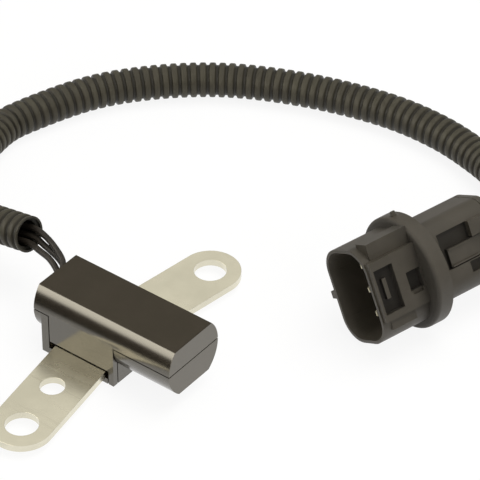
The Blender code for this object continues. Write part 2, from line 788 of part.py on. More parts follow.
# The flange is turned with a round front edge, with a small nub on its rim, round the
# solid start of the rear body.
flange = FLANGE_DIAMETER / 2
flange_core = REAR_WIDTH / 4
fillet_turns = [math.pi / 2 * i / 4 for i in range(5)]
flange_edge = [
    (FLANGE_FILLET * (1 - math.sin(a)), flange - FLANGE_FILLET * (1 - math.cos(a)))
    for a in reversed(fillet_turns)
]
nub_middle = math.radians(FLANGE_NUB_TURN)
nub_corners = ((-0.3 * MM, 2.0), (FLANGE_NUB, 1.0), (FLANGE_NUB, -1.0), (-0.3 * MM, -2.0))
nub_outline = []
for rise, side in nub_corners:
    turn = nub_middle + side * FLANGE_NUB / FLANGE_DIAMETER
    nub_outline.append((-(flange + rise) * math.sin(turn), (flange + rise) * math.cos(turn)))
join(
    connector_shell,
    prism(rounded_box(REAR_WIDTH, REAR_HEIGHT, REAR_CORNER), "X", 0.2 * MM, rear_face),
    turned(
        [(0.0, flange_core)] + flange_edge
        + [(FLANGE_THICKNESS, flange), (FLANGE_THICKNESS, flange_core)],
        56,
    ),
    prism(nub_outline, "X", FLANGE_THICKNESS / 2 - FLANGE_NUB / 2, FLANGE_THICKNESS / 2 + FLANGE_NUB / 2),
)
socket_width = SHROUD_WIDTH - 2 * SHROUD_WALL
socket_height = SHROUD_HEIGHT - 2 * SHROUD_WALL
rear_bore = (REAR_WIDTH - 2 * REAR_WALL, REAR_HEIGHT - 2 * REAR_WALL)
rear_bore_corner = REAR_CORNER - REAR_WALL
pocket_start = shroud_face + LATCH_POCKET_SETBACK
pocket_floor = latch_face + LATCH_POCKET_DEPTH
bump_middle = pocket_start + LATCH_POCKET[0] / 2
window_end = -LATCH_WINDOW_SETBACK
rear_side = -REAR_WIDTH / 2
recess_floor = rear_side + LOCK_RECESS_DEPTH
recess_start = FLANGE_THICKNESS + LOCK_RECESS_START
recess_end = recess_start + LOCK_RECESS[0]
recess_high = LOCK_RECESS_LOW + LOCK_RECESS[1]
cut(
    connector_shell,
    prism(rounded_box(socket_width, socket_height, shroud_inner_corner), "X",
          shroud_face - GAP, socket_floor),
    prism(rounded_box(*rear_bore, rear_bore_corner), "X", web_back, rear_face + GAP),
    block((socket_floor - GAP, web_back + GAP),
          (-PIN_LOCK_WIDTH / 2 - GAP, PIN_LOCK_WIDTH / 2 + GAP),
          (-PIN_LOCK_HEIGHT / 2 - GAP, PIN_LOCK_HEIGHT / 2 + GAP)),
    block((pocket_start, pocket_start + LATCH_POCKET[0]), (latch_face - GAP, pocket_floor),
          (LATCH_POCKET_CENTRE - LATCH_POCKET[1] / 2, LATCH_POCKET_CENTRE + LATCH_POCKET[1] / 2)),
    block((window_end - LATCH_WINDOW[0], window_end), (latch_face - GAP, pocket_floor),
          (-LATCH_WINDOW[1] / 2, LATCH_WINDOW[1] / 2)),
    block((recess_start, recess_end), (rear_side - GAP, recess_floor),
          (LOCK_RECESS_LOW, recess_high)),
    block((recess_end - LOCK_POCKET[0], recess_end), (rear_side - GAP, recess_floor),
          (LOCK_RECESS_LOW - LOCK_POCKET[1], LOCK_RECESS_LOW - GAP)),
)
join(
    connector_shell,
    block((bump_middle - LATCH_BUMP[0] / 2, bump_middle + LATCH_BUMP[0] / 2),
          (pocket_floor - LATCH_BUMP_RISE, pocket_floor + GAP),
          (LATCH_POCKET_CENTRE - LATCH_BUMP[1] / 2, LATCH_POCKET_CENTRE + LATCH_BUMP[1] / 2)),
    block((recess_start + LOCK_BAR_START, recess_end + GAP), (rear_side + GAP / 2, recess_floor + GAP),
          (-LOCK_BAR_HEIGHT / 2 + GAP, LOCK_BAR_HEIGHT / 2 + GAP)),
    block((rear_face - LOCK_TAB[0], rear_face - GAP), (rear_side - LOCK_TAB_RISE, recess_floor + GAP),
          (recess_high - LOCK_TAB[1], recess_high)),
)
in_connector(smooth(connector_shell))

# Pins: a blade in the socket, a shoulder in the lock and a barrel into the seal.

lock_front = socket_floor
lock_back = web_back
seal_front = web_back + GAP
seal_back = seal_front + SEAL_LENGTH
pin_lock = piece(
    "pin_lock",
    block((lock_front, lock_back), (-PIN_LOCK_WIDTH / 2, PIN_LOCK_WIDTH / 2),
          (-PIN_LOCK_HEIGHT / 2, PIN_LOCK_HEIGHT / 2)),
    lock_plastic,
)
seal_size = (rear_bore[0] - 2 * GAP, rear_bore[1] - 2 * GAP)
seal_corner = rear_bore_corner - GAP
wire_seal = piece(
    "wire_seal",
    prism(rounded_box(*seal_size, seal_corner), "X", seal_front, seal_back),
    seal_rubber,
)
pin_front = shroud_face + PIN_SETBACK
pin_back = seal_front + PIN_TAIL
for name, k in (("pin_power", 1), ("pin_signal", 0), ("pin_ground", -1)):
    z = k * PIN_PITCH
    shoulder_back = lock_back - 1.0 * MM
    cut(
        pin_lock,
        prism(box_outline(PIN_THICKNESS + 2 * GAP, PIN_WIDTH + 2 * GAP, (0.0, z)), "X",
              lock_front - GAP, lock_back + GAP),
        prism(circle(PIN_SHOULDER / 2 + GAP, SMALL_AROUND, (0.0, z)), "X",
              lock_front + WEB_THICKNESS / 2 - GAP, lock_back + GAP),
    )
    cut(
        wire_seal,
        prism(circle(PIN_BARREL + GAP, SMALL_AROUND, (0.0, z)), "X",
              seal_front - GAP, seal_back + GAP),
    )
    pin = piece(
        name,
        prism(box_outline(PIN_THICKNESS, PIN_WIDTH, (0.0, z)), "X",
              pin_front, lock_front + WEB_THICKNESS / 2 + 1.0 * MM),
        pin_plating,
    )
    join(
        pin,
        prism(circle(PIN_SHOULDER / 2, SMALL_AROUND, (0.0, z)), "X",
              lock_front + WEB_THICKNESS / 2, shoulder_back),
        prism(circle(PIN_BARREL, SMALL_AROUND, (0.0, z)), "X", shoulder_back - GAP, pin_back),
    )
    in_connector(smooth(pin))
in_connector(smooth(pin_lock))
in_connector(smooth(wire_seal))

# Rear cap with the spigot that the loom butts against, and the collar round both.

rear_cap = piece(
    "rear_cap",
    prism(rounded_box(REAR_WIDTH, REAR_HEIGHT, REAR_CORNER), "X", rear_face + GAP, cap_rear),
    connector_plastic,
)
plug_front = rear_face - CAP_PLUG
join(
    rear_cap,
    prism(rounded_box(*seal_size, seal_corner), "X", plug_front, rear_face + GAP + 0.5 * MM),
    prism(circle(LOOM_DIAMETER / 2), "X", cap_rear - 0.5 * MM, spigot_end),
)
cut(
    rear_cap,
    prism(circle(SPIGOT_BORE / 2), "X", plug_front - GAP, spigot_end + GAP),
)
in_connector(smooth(rear_cap))

collar_inner = LOOM_DIAMETER / 2 + 2 * GAP
collar_outer = collar_inner + COLLAR_WALL
collar_front = cap_rear + GAP
collar_back = collar_front + COLLAR_LENGTH
loom_collar = piece(
    "loom_collar",
    turned([
        (collar_front, collar_outer),
        (collar_back, collar_outer),
        (collar_back, collar_inner),
        (collar_front, collar_inner),
    ]),
    connector_plastic,
)
in_connector(smooth(loom_collar))
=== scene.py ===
# %% [markdown]
# A crankshaft position sensor reads the teeth of a ring that turns with an engine's crankshaft.
# Its barrel-shaped head is bolted to the engine by a flat steel bracket, and three leads run from
# it, through a ringed loom, to a sealed plug connector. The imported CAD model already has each
# piece at its real size and place, so this lesson starts by loading it. Each step then makes one
# piece or one finish around that frame.

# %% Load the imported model
import json
import math

import bmesh
import bpy
from mathutils import Matrix, Vector

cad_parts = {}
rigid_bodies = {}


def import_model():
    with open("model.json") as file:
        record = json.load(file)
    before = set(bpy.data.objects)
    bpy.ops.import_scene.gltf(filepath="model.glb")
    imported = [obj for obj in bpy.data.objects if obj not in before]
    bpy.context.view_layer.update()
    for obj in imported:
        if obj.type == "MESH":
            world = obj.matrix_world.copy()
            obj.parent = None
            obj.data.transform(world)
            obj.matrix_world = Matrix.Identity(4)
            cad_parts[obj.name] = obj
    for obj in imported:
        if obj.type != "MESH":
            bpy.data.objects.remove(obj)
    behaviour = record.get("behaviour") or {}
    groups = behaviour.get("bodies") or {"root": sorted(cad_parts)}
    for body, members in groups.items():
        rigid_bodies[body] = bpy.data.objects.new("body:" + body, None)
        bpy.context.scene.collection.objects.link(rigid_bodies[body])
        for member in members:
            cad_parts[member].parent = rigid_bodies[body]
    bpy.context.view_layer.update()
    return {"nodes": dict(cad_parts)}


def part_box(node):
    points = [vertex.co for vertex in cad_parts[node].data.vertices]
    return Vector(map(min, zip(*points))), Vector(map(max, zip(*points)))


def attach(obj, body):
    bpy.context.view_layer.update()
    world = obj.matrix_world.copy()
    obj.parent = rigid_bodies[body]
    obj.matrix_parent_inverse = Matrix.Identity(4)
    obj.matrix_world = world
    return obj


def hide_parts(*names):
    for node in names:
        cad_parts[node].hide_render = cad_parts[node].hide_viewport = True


MM = 0.001

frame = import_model()
nodes = frame["nodes"]

# %% [markdown]
# The camera looks from where the photograph was taken: to the right of the head, rather high,
# and far away with a long lens, so that the parallel edges of the head hardly meet. The
# direction, the distance and the lens were found by matching the corners of the head and the
# bolt holes.

# %% Camera
VIEW_AZIMUTH = math.radians(37.67)
VIEW_ELEVATION = math.radians(38.93)
VIEW_DISTANCE = 916.65 * MM
VIEW_TARGET = Vector((0.866, 46.53, 10.35)) * MM
VIEW_LENS = 261.9

towards_camera = Vector((
    math.sin(VIEW_AZIMUTH) * math.cos(VIEW_ELEVATION),
    -math.cos(VIEW_AZIMUTH) * math.cos(VIEW_ELEVATION),
    math.sin(VIEW_ELEVATION),
))
bpy.ops.object.camera_add(location=VIEW_TARGET + towards_camera * VIEW_DISTANCE)
camera = bpy.context.active_object
camera.name = "camera"
camera.rotation_mode = "QUATERNION"
camera.rotation_quaternion = (-towards_camera).to_track_quat("-Z", "Y")
camera.data.lens = VIEW_LENS
camera.data.sensor_width = 36
camera.data.clip_start = 0.05
bpy.context.scene.camera = camera
print("camera at", [round(c, 3) for c in camera.location])

# %% [markdown]
# The leads and the loom are cords: a fixed length of something flexible that lies where gravity
# and its own stiffness put it. Their routes come before any surface, because everything at the
# two ends has to meet them. A smooth curve through a few given points looks like a real cord,
# where straight runs joined by arcs would look like bent wire. The points are the same as in the
# CAD source.

# %% Curves through points


def through(points, sub):
    """Points of a smooth curve through the given ones, sub of them to each stretch."""
    p = [Vector(q) for q in points]
    p = [2 * p[0] - p[1]] + p + [2 * p[-1] - p[-2]]
    curve = []
    for a, b, c, d in zip(p, p[1:], p[2:], p[3:]):
        for i in range(sub):
            t = i / sub
            bend = (2 * a - 5 * b + 4 * c - d) * t * t + (3 * b - a - 3 * c + d) * t ** 3
            curve.append((2 * b + (c - a) * t + bend) / 2)
    curve.append(p[-2])
    return curve


def length_of(points):
    return sum((b - a).length for a, b in zip(points, points[1:]))


# %% [markdown]
# The loom runs from its open mouth, behind the head's wire end, to the back of the connector. The
# connector stands turned in plan and rolled about its own length, so a matrix holds its frame.

# %% Where the loom's mouth and the connector stand
HOUSING_LENGTH = 44.2 * MM
AXIS_HEIGHT = 12.5 * MM
LOOM_DIAMETER = 9.8 * MM
LOOM_ROOT_DIAMETER = 8.4 * MM
LOOM_WALL = 0.6 * MM
LOOM_PITCH = 2.7 * MM
MOUTH_LENGTH = 4 * LOOM_PITCH
LEAD_DIAMETER = 1.7 * MM
GAP = 0.3 * MM

wire_face = -HOUSING_LENGTH / 2
sensing_face = HOUSING_LENGTH / 2
mouth_centre = Vector((-38.9, 8.4, 17.0)) * MM
mouth_run = Vector((-0.976, 0.046, -0.21)).normalized()
mouth_turn = mouth_run.to_track_quat("X", "Z")

CONNECTOR_PLACE = Vector((46.0, 55.5, 15.6)) * MM
CONNECTOR_YAW = math.radians(75.5)
CONNECTOR_ROLL = math.radians(-30.0)
connector_frame = (
    Matrix.Translation(CONNECTOR_PLACE)
    @ Matrix.Rotation(CONNECTOR_YAW, 4, "Z")
    @ Matrix.Rotation(CONNECTOR_ROLL, 4, "X")
)
LOOM_END_X = 30.1 * MM
COLLAR_LENGTH = 8.0 * MM
print("loom mouth", [round(c / MM, 1) for c in mouth_centre])

# %% [markdown]
# The loom leaves its mouth straight, comes down to the floor on the left, lies there in one wide
# bend behind the head, and rises again into the connector's collar.

# %% Route of the loom
loom_end = connector_frame @ Vector((LOOM_END_X + GAP, 0.0, 0.0))
loom_back = (connector_frame.to_3x3() @ Vector((1.0, 0.0, 0.0))).normalized()
loom_start = mouth_centre + mouth_run * (MOUTH_LENGTH + GAP)
loom_points = [
    loom_start + mouth_run * 5.0 * MM,
    Vector((-59.5, 11.6, 12.3)) * MM,
    Vector((-71.6, 20.0, 9.2)) * MM,
    Vector((-80.6, 33.0, 6.4)) * MM,
    Vector((-84.9, 49.0, 5.1)) * MM,
    Vector((-83.1, 60.2, 5.0)) * MM,
    Vector((-76.0, 78.3, 5.0)) * MM,
    Vector((-65.5, 92.5, 5.0)) * MM,
    Vector((-52.7, 104.0, 5.0)) * MM,
    Vector((-38.7, 112.0, 5.0)) * MM,
    Vector((-22.2, 118.3, 5.0)) * MM,
    Vector((-4.5, 122.3, 5.0)) * MM,
    Vector((12.0, 122.6, 5.0)) * MM,
    Vector((27.1, 119.6, 5.1)) * MM,
    Vector((41.0, 113.0, 7.2)) * MM,
    Vector((50.6, 104.6, 11.6)) * MM,
    loom_end + loom_back * COLLAR_LENGTH,
]
loom_route = [mouth_centre, loom_start] + through(loom_points, sub=16) + [loom_end]
print("loom route", round(length_of(loom_route) / MM, 1), "mm")

# %% [markdown]
# Each lead starts in its crimp, runs straight, bends towards its own bore in the grommet and goes
# through the end wall, which it leaves at its exit point. Outside, three points set its slack.
# The last three lie on the loom's inner wall, each lead at an angle of its own round the mouth.

# %% Routes of the three leads
CRIMP_PITCH = 3.0 * MM
CRIMP_RADIUS = 1.0 * MM
BOARD_DROP = 2.5 * MM
LEAD_START_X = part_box("crimp_signal")[0].x - GAP
LEAD_STRAIGHT = 1.2 * MM
CRIMP_HEIGHT = AXIS_HEIGHT - BOARD_DROP + GAP + CRIMP_RADIUS
GROMMET_CENTRE = (2.2 * MM, AXIS_HEIGHT + 0.9 * MM)
GROMMET_BORE_CIRCLE = 1.8 * MM
GROMMET_APPROACH = 1.0 * MM
EXIT_POINT = 5
grommet_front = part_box("wire_grommet")[1].x
in_mouth = LOOM_ROOT_DIAMETER / 2 - LOOM_WALL - LEAD_DIAMETER / 2 - GAP
lead_routes = {}
for name, bore, crimp_place, mouth_angle, free_points in (
    ("lead_signal", 0, 0, -188.0, ((-25.3, 5.6, 16.6), (-29.5, 7.9, 17.2), (-34.4, 10.0, 17.2))),
    ("lead_ground", 1, -1, -76.0, ((-25.2, 3.4, 14.3), (-29.4, 5.4, 15.2), (-34.2, 6.8, 14.9))),
    ("lead_power", 2, 1, -132.0, ((-25.4, 6.1, 14.4), (-29.6, 7.9, 14.8), (-34.6, 9.1, 15.1))),
):
    bore_angle = math.pi / 2 + bore * 2 * math.pi / 3
    bore_y = GROMMET_CENTRE[0] + GROMMET_BORE_CIRCLE * math.cos(bore_angle)
    bore_z = GROMMET_CENTRE[1] + GROMMET_BORE_CIRCLE * math.sin(bore_angle)
    start = Vector((LEAD_START_X, crimp_place * CRIMP_PITCH, CRIMP_HEIGHT))
    straight = start - Vector((LEAD_STRAIGHT, 0.0, 0.0))
    reach = Vector((grommet_front + GROMMET_APPROACH, bore_y, bore_z))
    in_wall = (grommet_front + wire_face) / 2
    route = [start, straight, straight.lerp(reach, 0.5), reach]
    route += [Vector((in_wall, bore_y, bore_z)), Vector((wire_face - GAP, bore_y, bore_z))]
    route += [Vector(p) * MM for p in free_points]
    around = math.radians(mouth_angle)
    for depth in (0.0, MOUTH_LENGTH / 2, MOUTH_LENGTH - GAP):
        on_wall = Vector((depth, in_mouth * math.cos(around), in_mouth * math.sin(around)))
        route.append(mouth_centre + mouth_turn @ on_wall)
    lead_routes[name] = route
    print(name, round(length_of(through(route, sub=6)) / MM, 1), "mm")

# %% [markdown]
# Light and materials are both networks of shader nodes. A few helpers keep them readable: they
# give a socket its value, map a value from one range to another, do one step of arithmetic, and
# mix two shaders.

# %% Helpers for shader nodes


def link(tree, source, target):
    tree.links.new(source, target)


def feed(tree, value, socket):
    """Gives a socket a plain value, or links another node's output to it."""
    if isinstance(value, bpy.types.NodeSocket):
        link(tree, value, socket)
    else:
        socket.default_value = value


def spread(tree, value, low, high, new_low, new_high):
    """Maps a value from one range to another; each new end is a number or a socket."""
    node = tree.nodes.new("ShaderNodeMapRange")
    feed(tree, low, node.inputs["From Min"])
    feed(tree, high, node.inputs["From Max"])
    feed(tree, value, node.inputs["Value"])
    feed(tree, new_low, node.inputs["To Min"])
    feed(tree, new_high, node.inputs["To Max"])
    return node.outputs["Result"]


def math_node(tree, operation, *values):
    """One step of arithmetic on numbers and sockets."""
    node = tree.nodes.new("ShaderNodeMath")
    node.operation = operation
    for i, value in enumerate(values):
        feed(tree, value, node.inputs[i])
    return node.outputs[0]


def mix_shaders(tree, share, first, second):
    """The first shader where the share is 0, and the second where it is 1."""
    node = tree.nodes.new("ShaderNodeMixShader")
    link(tree, share, node.inputs["Fac"])
    link(tree, first, node.inputs[1])
    link(tree, second, node.inputs[2])
    return node.outputs[0]


# %% [markdown]
# The light is a plain white studio. In the photograph the glossy flank of the head shows a pale
# band, a dark band below it and then the white floor, so what mirrors in the plastic matters more
# than the lamps do. The world therefore gives each kind of ray its own picture. Most rays see an
# even dome, and the camera sees plain white. Mirrored rays see a dome that is white high up and
# dark near the horizon, and a bright soft box, low in front of the head and to the left.

# %% Dome
DARK_BELOW = 0.24
WHITE_ABOVE = 0.50
EVEN_LIGHT = 0.36
world = bpy.data.worlds.new("studio_dome")
bpy.context.scene.world = world
world.use_nodes = True
tree = world.node_tree
tree.nodes.clear()
direction = tree.nodes.new("ShaderNodeTexCoord").outputs["Generated"]
split = tree.nodes.new("ShaderNodeSeparateXYZ")
link(tree, direction, split.inputs[0])
height = split.outputs["Z"]
dome_ramp = tree.nodes.new("ShaderNodeValToRGB")
dome_ramp.color_ramp.interpolation = "EASE"
dome_ramp.color_ramp.elements[0].position = DARK_BELOW
dome_ramp.color_ramp.elements[0].color = (0.05, 0.05, 0.05, 1.0)
dome_ramp.color_ramp.elements[1].position = WHITE_ABOVE
dome_ramp.color_ramp.elements[1].color = (1.0, 0.985, 0.93, 1.0)
link(tree, height, dome_ramp.inputs["Fac"])
rays = tree.nodes.new("ShaderNodeLightPath")


def background(tree, colour, strength=1.0):
    node = tree.nodes.new("ShaderNodeBackground")
    feed(tree, colour, node.inputs["Color"])
    feed(tree, strength, node.inputs["Strength"])
    return node.outputs[0]


even = background(tree, (1.0, 0.985, 0.95, 1.0), EVEN_LIGHT)
mirrored = background(tree, dome_ramp.outputs["Color"])
white = background(tree, (1.0, 1.0, 1.0, 1.0))
print("dome is dark below height", DARK_BELOW, "and white above", WHITE_ABOVE)

# %% Soft box
BOX_DIRECTION = Vector((-0.46, -0.74, 0.49)).normalized()
BOX_EDGE = (0.60, 0.82)
BOX_FOOT = (0.15, 0.27)
BOX_HEAD = (0.50, 0.76)
BOX_GLOW = 4.8
facing = tree.nodes.new("ShaderNodeVectorMath")
facing.operation = "DOT_PRODUCT"
facing.inputs[1].default_value = BOX_DIRECTION
link(tree, direction, facing.inputs[0])
in_box = spread(tree, facing.outputs["Value"], *BOX_EDGE, 0.0, 1.0)
over_foot = spread(tree, height, *BOX_FOOT, 0.0, BOX_GLOW)
under_head = spread(tree, height, *BOX_HEAD, 1.0, 0.0)
box_glow = math_node(tree, "MULTIPLY", math_node(tree, "MULTIPLY", in_box, over_foot), under_head)
with_box = tree.nodes.new("ShaderNodeAddShader")
link(tree, mirrored, with_box.inputs[0])
link(tree, background(tree, (1.0, 0.97, 0.90, 1.0), box_glow), with_box.inputs[1])
glossy_or_not = mix_shaders(tree, rays.outputs["Is Glossy Ray"], even, with_box.outputs[0])
seen_or_not = mix_shaders(tree, rays.outputs["Is Camera Ray"], glossy_or_not, white)
world_output = tree.nodes.new("ShaderNodeOutputWorld")
link(tree, seen_or_not, world_output.inputs["Surface"])
bpy.context.scene.view_settings.view_transform = "Standard"
print("world nodes:", len(tree.nodes))

# %% [markdown]
# The object lies on a sheet of white paper. Its white comes from a glow that the camera sees, and
# the rest of its colour takes the object's faint shadow. In mirrored rays the paper glows brightly
# near the head and ends in a painted shadow a short way in front of it, which gives the flank its
# dark band.

# %% Floor


def deselect():
    """Nothing selected and nothing active, so that an operator acts on the new piece alone."""
    for other in bpy.context.selected_objects:
        other.select_set(False)
    bpy.context.view_layer.objects.active = None


FLOOR_SIZE = 6.0
FLOOR_BELOW = 0.05 * MM
deselect()
bpy.ops.mesh.primitive_plane_add(size=FLOOR_SIZE, location=(0.0, 0.0, -FLOOR_BELOW))
floor = bpy.context.active_object
floor.name = "floor"
print("floor", FLOOR_SIZE, "m wide")

# %% White paper
PAPER_GLOW = 1.03
GLOW_SHARE = 0.86
FRONT = (-0.53, -0.85, 0.0)
PAPER_EDGE = (0.042, 0.062)
MIRRORED_PAPER = 1.18
MIRRORED_SHADOW = 0.05
paper = bpy.data.materials.new("white_paper")
paper.use_nodes = True
tree = paper.node_tree
tree.nodes.clear()
matte = tree.nodes.new("ShaderNodeBsdfDiffuse")
matte.inputs["Color"].default_value = (0.90, 0.895, 0.88, 1.0)
rays = tree.nodes.new("ShaderNodeLightPath")
is_camera = rays.outputs["Is Camera Ray"]
is_glossy = rays.outputs["Is Glossy Ray"]
on_floor = tree.nodes.new("ShaderNodeTexCoord")
ahead = tree.nodes.new("ShaderNodeVectorMath")
ahead.operation = "DOT_PRODUCT"
ahead.inputs[1].default_value = FRONT
link(tree, on_floor.outputs["Object"], ahead.inputs[0])
# Painted shadow for mirrored rays: the paper's glow is bright near the head and dim beyond.
lit = spread(tree, ahead.outputs["Value"], *PAPER_EDGE, MIRRORED_PAPER, MIRRORED_SHADOW)
glow = tree.nodes.new("ShaderNodeEmission")
link(tree, spread(tree, is_glossy, 0.0, 1.0, PAPER_GLOW, lit), glow.inputs["Strength"])
seen_glow = math_node(tree, "MULTIPLY", is_camera, GLOW_SHARE)
share = math_node(tree, "MAXIMUM", seen_glow, is_glossy)
paper_output = tree.nodes.new("ShaderNodeOutputMaterial")
blend = mix_shaders(tree, share, matte.outputs[0], glow.outputs[0])
link(tree, blend, paper_output.inputs["Surface"])
floor.data.materials.append(paper)
print("paper nodes:", len(tree.nodes))

# %% [markdown]
# Two area lamps give the object its soft shading: a large one above and behind, and a weaker one
# on the right. They are hidden from mirrored rays, where the dome and the soft box take over.

# %% Lamps


def soft_lamp(name, place, aim, size, power):
    """A square area lamp that looks at a point."""
    bpy.ops.object.light_add(type="AREA", location=place)
    lamp = bpy.context.active_object
    lamp.name = name
    lamp.data.size = size
    lamp.data.energy = power
    lamp.rotation_mode = "QUATERNION"
    lamp.rotation_quaternion = (Vector(aim) - Vector(place)).to_track_quat("-Z", "Y")
    lamp.visible_glossy = False


soft_lamp("lamp_over", place=(0.25, 0.35, 1.25), aim=(0.0, 0.04, 0.0), size=1.0, power=11.0)
soft_lamp("lamp_right", place=(1.0, -0.1, 0.6), aim=(0.0, 0.0, 0.0), size=0.8, power=3.2)

# %% [markdown]
# Every finish here is a mixture of a few effects: a fine grain that breaks up the gloss, patches
# where the colour drifts a little, and fine scratches. The grain with its patches is one node
# group and the scratches are another, so that any material can use them with its own values. The
# patterns follow Object coordinates, which are metres on the piece itself, so a grain has one
# real size on every piece.

# %% Node groups


def new_group(name, inputs, outputs):
    """A shader node group with its input and output nodes; each socket is (name, type, value)."""
    group = bpy.data.node_groups.new(name, "ShaderNodeTree")
    for label, kind, value in inputs:
        socket = group.interface.new_socket(name=label, in_out="INPUT", socket_type=kind)
        socket.default_value = value
    for label, kind in outputs:
        group.interface.new_socket(name=label, in_out="OUTPUT", socket_type=kind)
    return group, group.nodes.new("NodeGroupInput"), group.nodes.new("NodeGroupOutput")


def noise(tree, coordinates, scale, detail, roughness):
    node = tree.nodes.new("ShaderNodeTexNoise")
    node.inputs["Detail"].default_value = detail
    node.inputs["Roughness"].default_value = roughness
    link(tree, coordinates, node.inputs["Vector"])
    link(tree, scale, node.inputs["Scale"])
    return node.outputs["Fac"]


def mix_colours(tree, amount, first, second):
    node = tree.nodes.new("ShaderNodeMix")
    node.data_type = "RGBA"
    link(tree, amount, node.inputs["Factor"])
    link(tree, first, node.inputs[6])
    link(tree, second, node.inputs[7])
    return node.outputs[2]


# %% The moulded grain
PATCH_CONTRAST = (0.35, 0.68)
SPECK_SHARE = 0.35
SHINE_CONTRAST = (0.3, 0.8)
colour_socket = "NodeSocketColor"
number = "NodeSocketFloat"
grain, grain_in, grain_out = new_group(
    "moulded_grain",
    (
        ("Colour", colour_socket, (0.03, 0.03, 0.03, 1.0)),
        ("Drift", colour_socket, (0.05, 0.045, 0.04, 1.0)),
        ("Gloss", number, 0.3),
        ("Dull", number, 0.45),
        ("Grain Size", number, 2500.0),
        ("Patch Size", number, 120.0),
    ),
    (("Color", colour_socket), ("Roughness", number), ("Height", number)),
)
place = grain.nodes.new("ShaderNodeTexCoord").outputs["Object"]
patches = noise(grain, place, grain_in.outputs["Patch Size"], detail=3.0, roughness=0.6)
specks = noise(grain, place, grain_in.outputs["Grain Size"], detail=2.0, roughness=0.7)
patchy = spread(grain, patches, *PATCH_CONTRAST, 0.0, 1.0)
colour = mix_colours(grain, patchy, grain_in.outputs["Colour"], grain_in.outputs["Drift"])
speckle = math_node(grain, "MULTIPLY_ADD", specks, SPECK_SHARE, 0.5)
shine = math_node(grain, "MULTIPLY", math_node(grain, "ADD", patches, speckle), 0.7)
gloss, dull = grain_in.outputs["Gloss"], grain_in.outputs["Dull"]
link(grain, colour, grain_out.inputs["Color"])
link(grain, spread(grain, shine, *SHINE_CONTRAST, gloss, dull), grain_out.inputs["Roughness"])
link(grain, specks, grain_out.inputs["Height"])
print("group:", grain.name, "with", len(grain.nodes), "nodes")

# %% The fine scratches
SCRATCH_EDGE = (0.58, 0.72)
scratches, scratch_in, scratch_out = new_group(
    "fine_scratches",
    (("Density", number, 900.0), ("Stretch", number, 14.0)),
    (("Mask", number),),
)
place = scratches.nodes.new("ShaderNodeTexCoord").outputs["Object"]
stretch_by = scratches.nodes.new("ShaderNodeCombineXYZ")
stretch_by.inputs["Y"].default_value = 1.0
stretch_by.inputs["Z"].default_value = 1.0
link(scratches, scratch_in.outputs["Stretch"], stretch_by.inputs["X"])
stretch = scratches.nodes.new("ShaderNodeVectorMath")
stretch.operation = "MULTIPLY"
link(scratches, place, stretch.inputs[0])
link(scratches, stretch_by.outputs[0], stretch.inputs[1])
density = scratch_in.outputs["Density"]
streaks = noise(scratches, stretch.outputs[0], density, detail=2.0, roughness=0.6)
link(scratches, spread(scratches, streaks, *SCRATCH_EDGE, 0.0, 1.0), scratch_out.inputs["Mask"])
print("group:", scratches.name, "with", len(scratches.nodes), "nodes")

# %% [markdown]
# A material starts from the Principled shader and places the groups that it needs, each with its
# own values. Many pieces need nothing but the grain, so one function makes that finish.

# %% A material with the grain in it


def new_material(name):
    """A material with its tree and its Principled shader."""
    material = bpy.data.materials.new(name)
    material.use_nodes = True
    return material, material.node_tree, material.node_tree.nodes["Principled BSDF"]


def place_group(tree, group, **values):
    """One use of a node group; underscores in a value's name stand for spaces."""
    node = tree.nodes.new("ShaderNodeGroup")
    node.node_tree = group
    for label, value in values.items():
        if not isinstance(value, (int, float)):
            value = (*value, 1.0)
        node.inputs[label.replace("_", " ").title()].default_value = value
    return node


def add_relief(tree, shader, height, distance):
    """Gives the shader a slight bump from a height, and returns the bump's node."""
    node = tree.nodes.new("ShaderNodeBump")
    node.inputs["Distance"].default_value = distance
    link(tree, height, node.inputs["Height"])
    link(tree, node.outputs["Normal"], shader.inputs["Normal"])
    return node


def grainy(name, colour, drift, gloss, dull, bump=0.02 * MM, metallic=0.0, mirror=0.5, **sizes):
    """The plain moulded, rubber or cast finish: grain, patches and a slight bump."""
    material, tree, shader = new_material(name)
    surface = place_group(tree, grain, colour=colour, drift=drift, gloss=gloss, dull=dull, **sizes)
    link(tree, surface.outputs["Color"], shader.inputs["Base Color"])
    link(tree, surface.outputs["Roughness"], shader.inputs["Roughness"])
    shader.inputs["Metallic"].default_value = metallic
    shader.inputs["Specular IOR Level"].default_value = mirror
    add_relief(tree, shader, surface.outputs["Height"], bump)
    return material


# %% [markdown]
# The head is one dark plastic with two finishes. Its flat top is spark-eroded in the mould and
# comes out matt, while its round flanks are polished and mirror the room. The sensing end is
# between the two. A mask made from the height and from the distance along the head tells the
# three apart, so one material covers both shells.

# %% Housing plastic
TOP_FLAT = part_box("upper_shell")[1].z
MASK_START = 0.22 * MM
MASK_END = 0.05 * MM
TOP_DULLER = 0.42
END_DULLER = 0.24
FLANK_IOR = 1.83
END_IOR = 2.05
TOP_IOR = 1.36
FLANK_RELIEF = 0.06
housing_plastic, tree, shader = new_material("housing_plastic")
surface = place_group(
    tree, grain, colour=(0.029, 0.0235, 0.0155), drift=(0.036, 0.029, 0.020),
    gloss=0.11, dull=0.19, grain_size=2600.0, patch_size=90.0,
)
where = tree.nodes.new("ShaderNodeTexCoord")
axes = tree.nodes.new("ShaderNodeSeparateXYZ")
link(tree, where.outputs["Object"], axes.inputs[0])
on_top = spread(tree, axes.outputs["Z"], TOP_FLAT - MASK_START, TOP_FLAT - MASK_END, 0.0, 1.0)
end_limits = (sensing_face - MASK_START, sensing_face - MASK_END)
at_end = spread(tree, axes.outputs["X"], *end_limits, 0.0, 1.0)
matt_top = math_node(tree, "MULTIPLY_ADD", on_top, TOP_DULLER, surface.outputs["Roughness"])
matt_end = math_node(tree, "MULTIPLY_ADD", at_end, END_DULLER, matt_top)
link(tree, surface.outputs["Color"], shader.inputs["Base Color"])
link(tree, matt_end, shader.inputs["Roughness"])
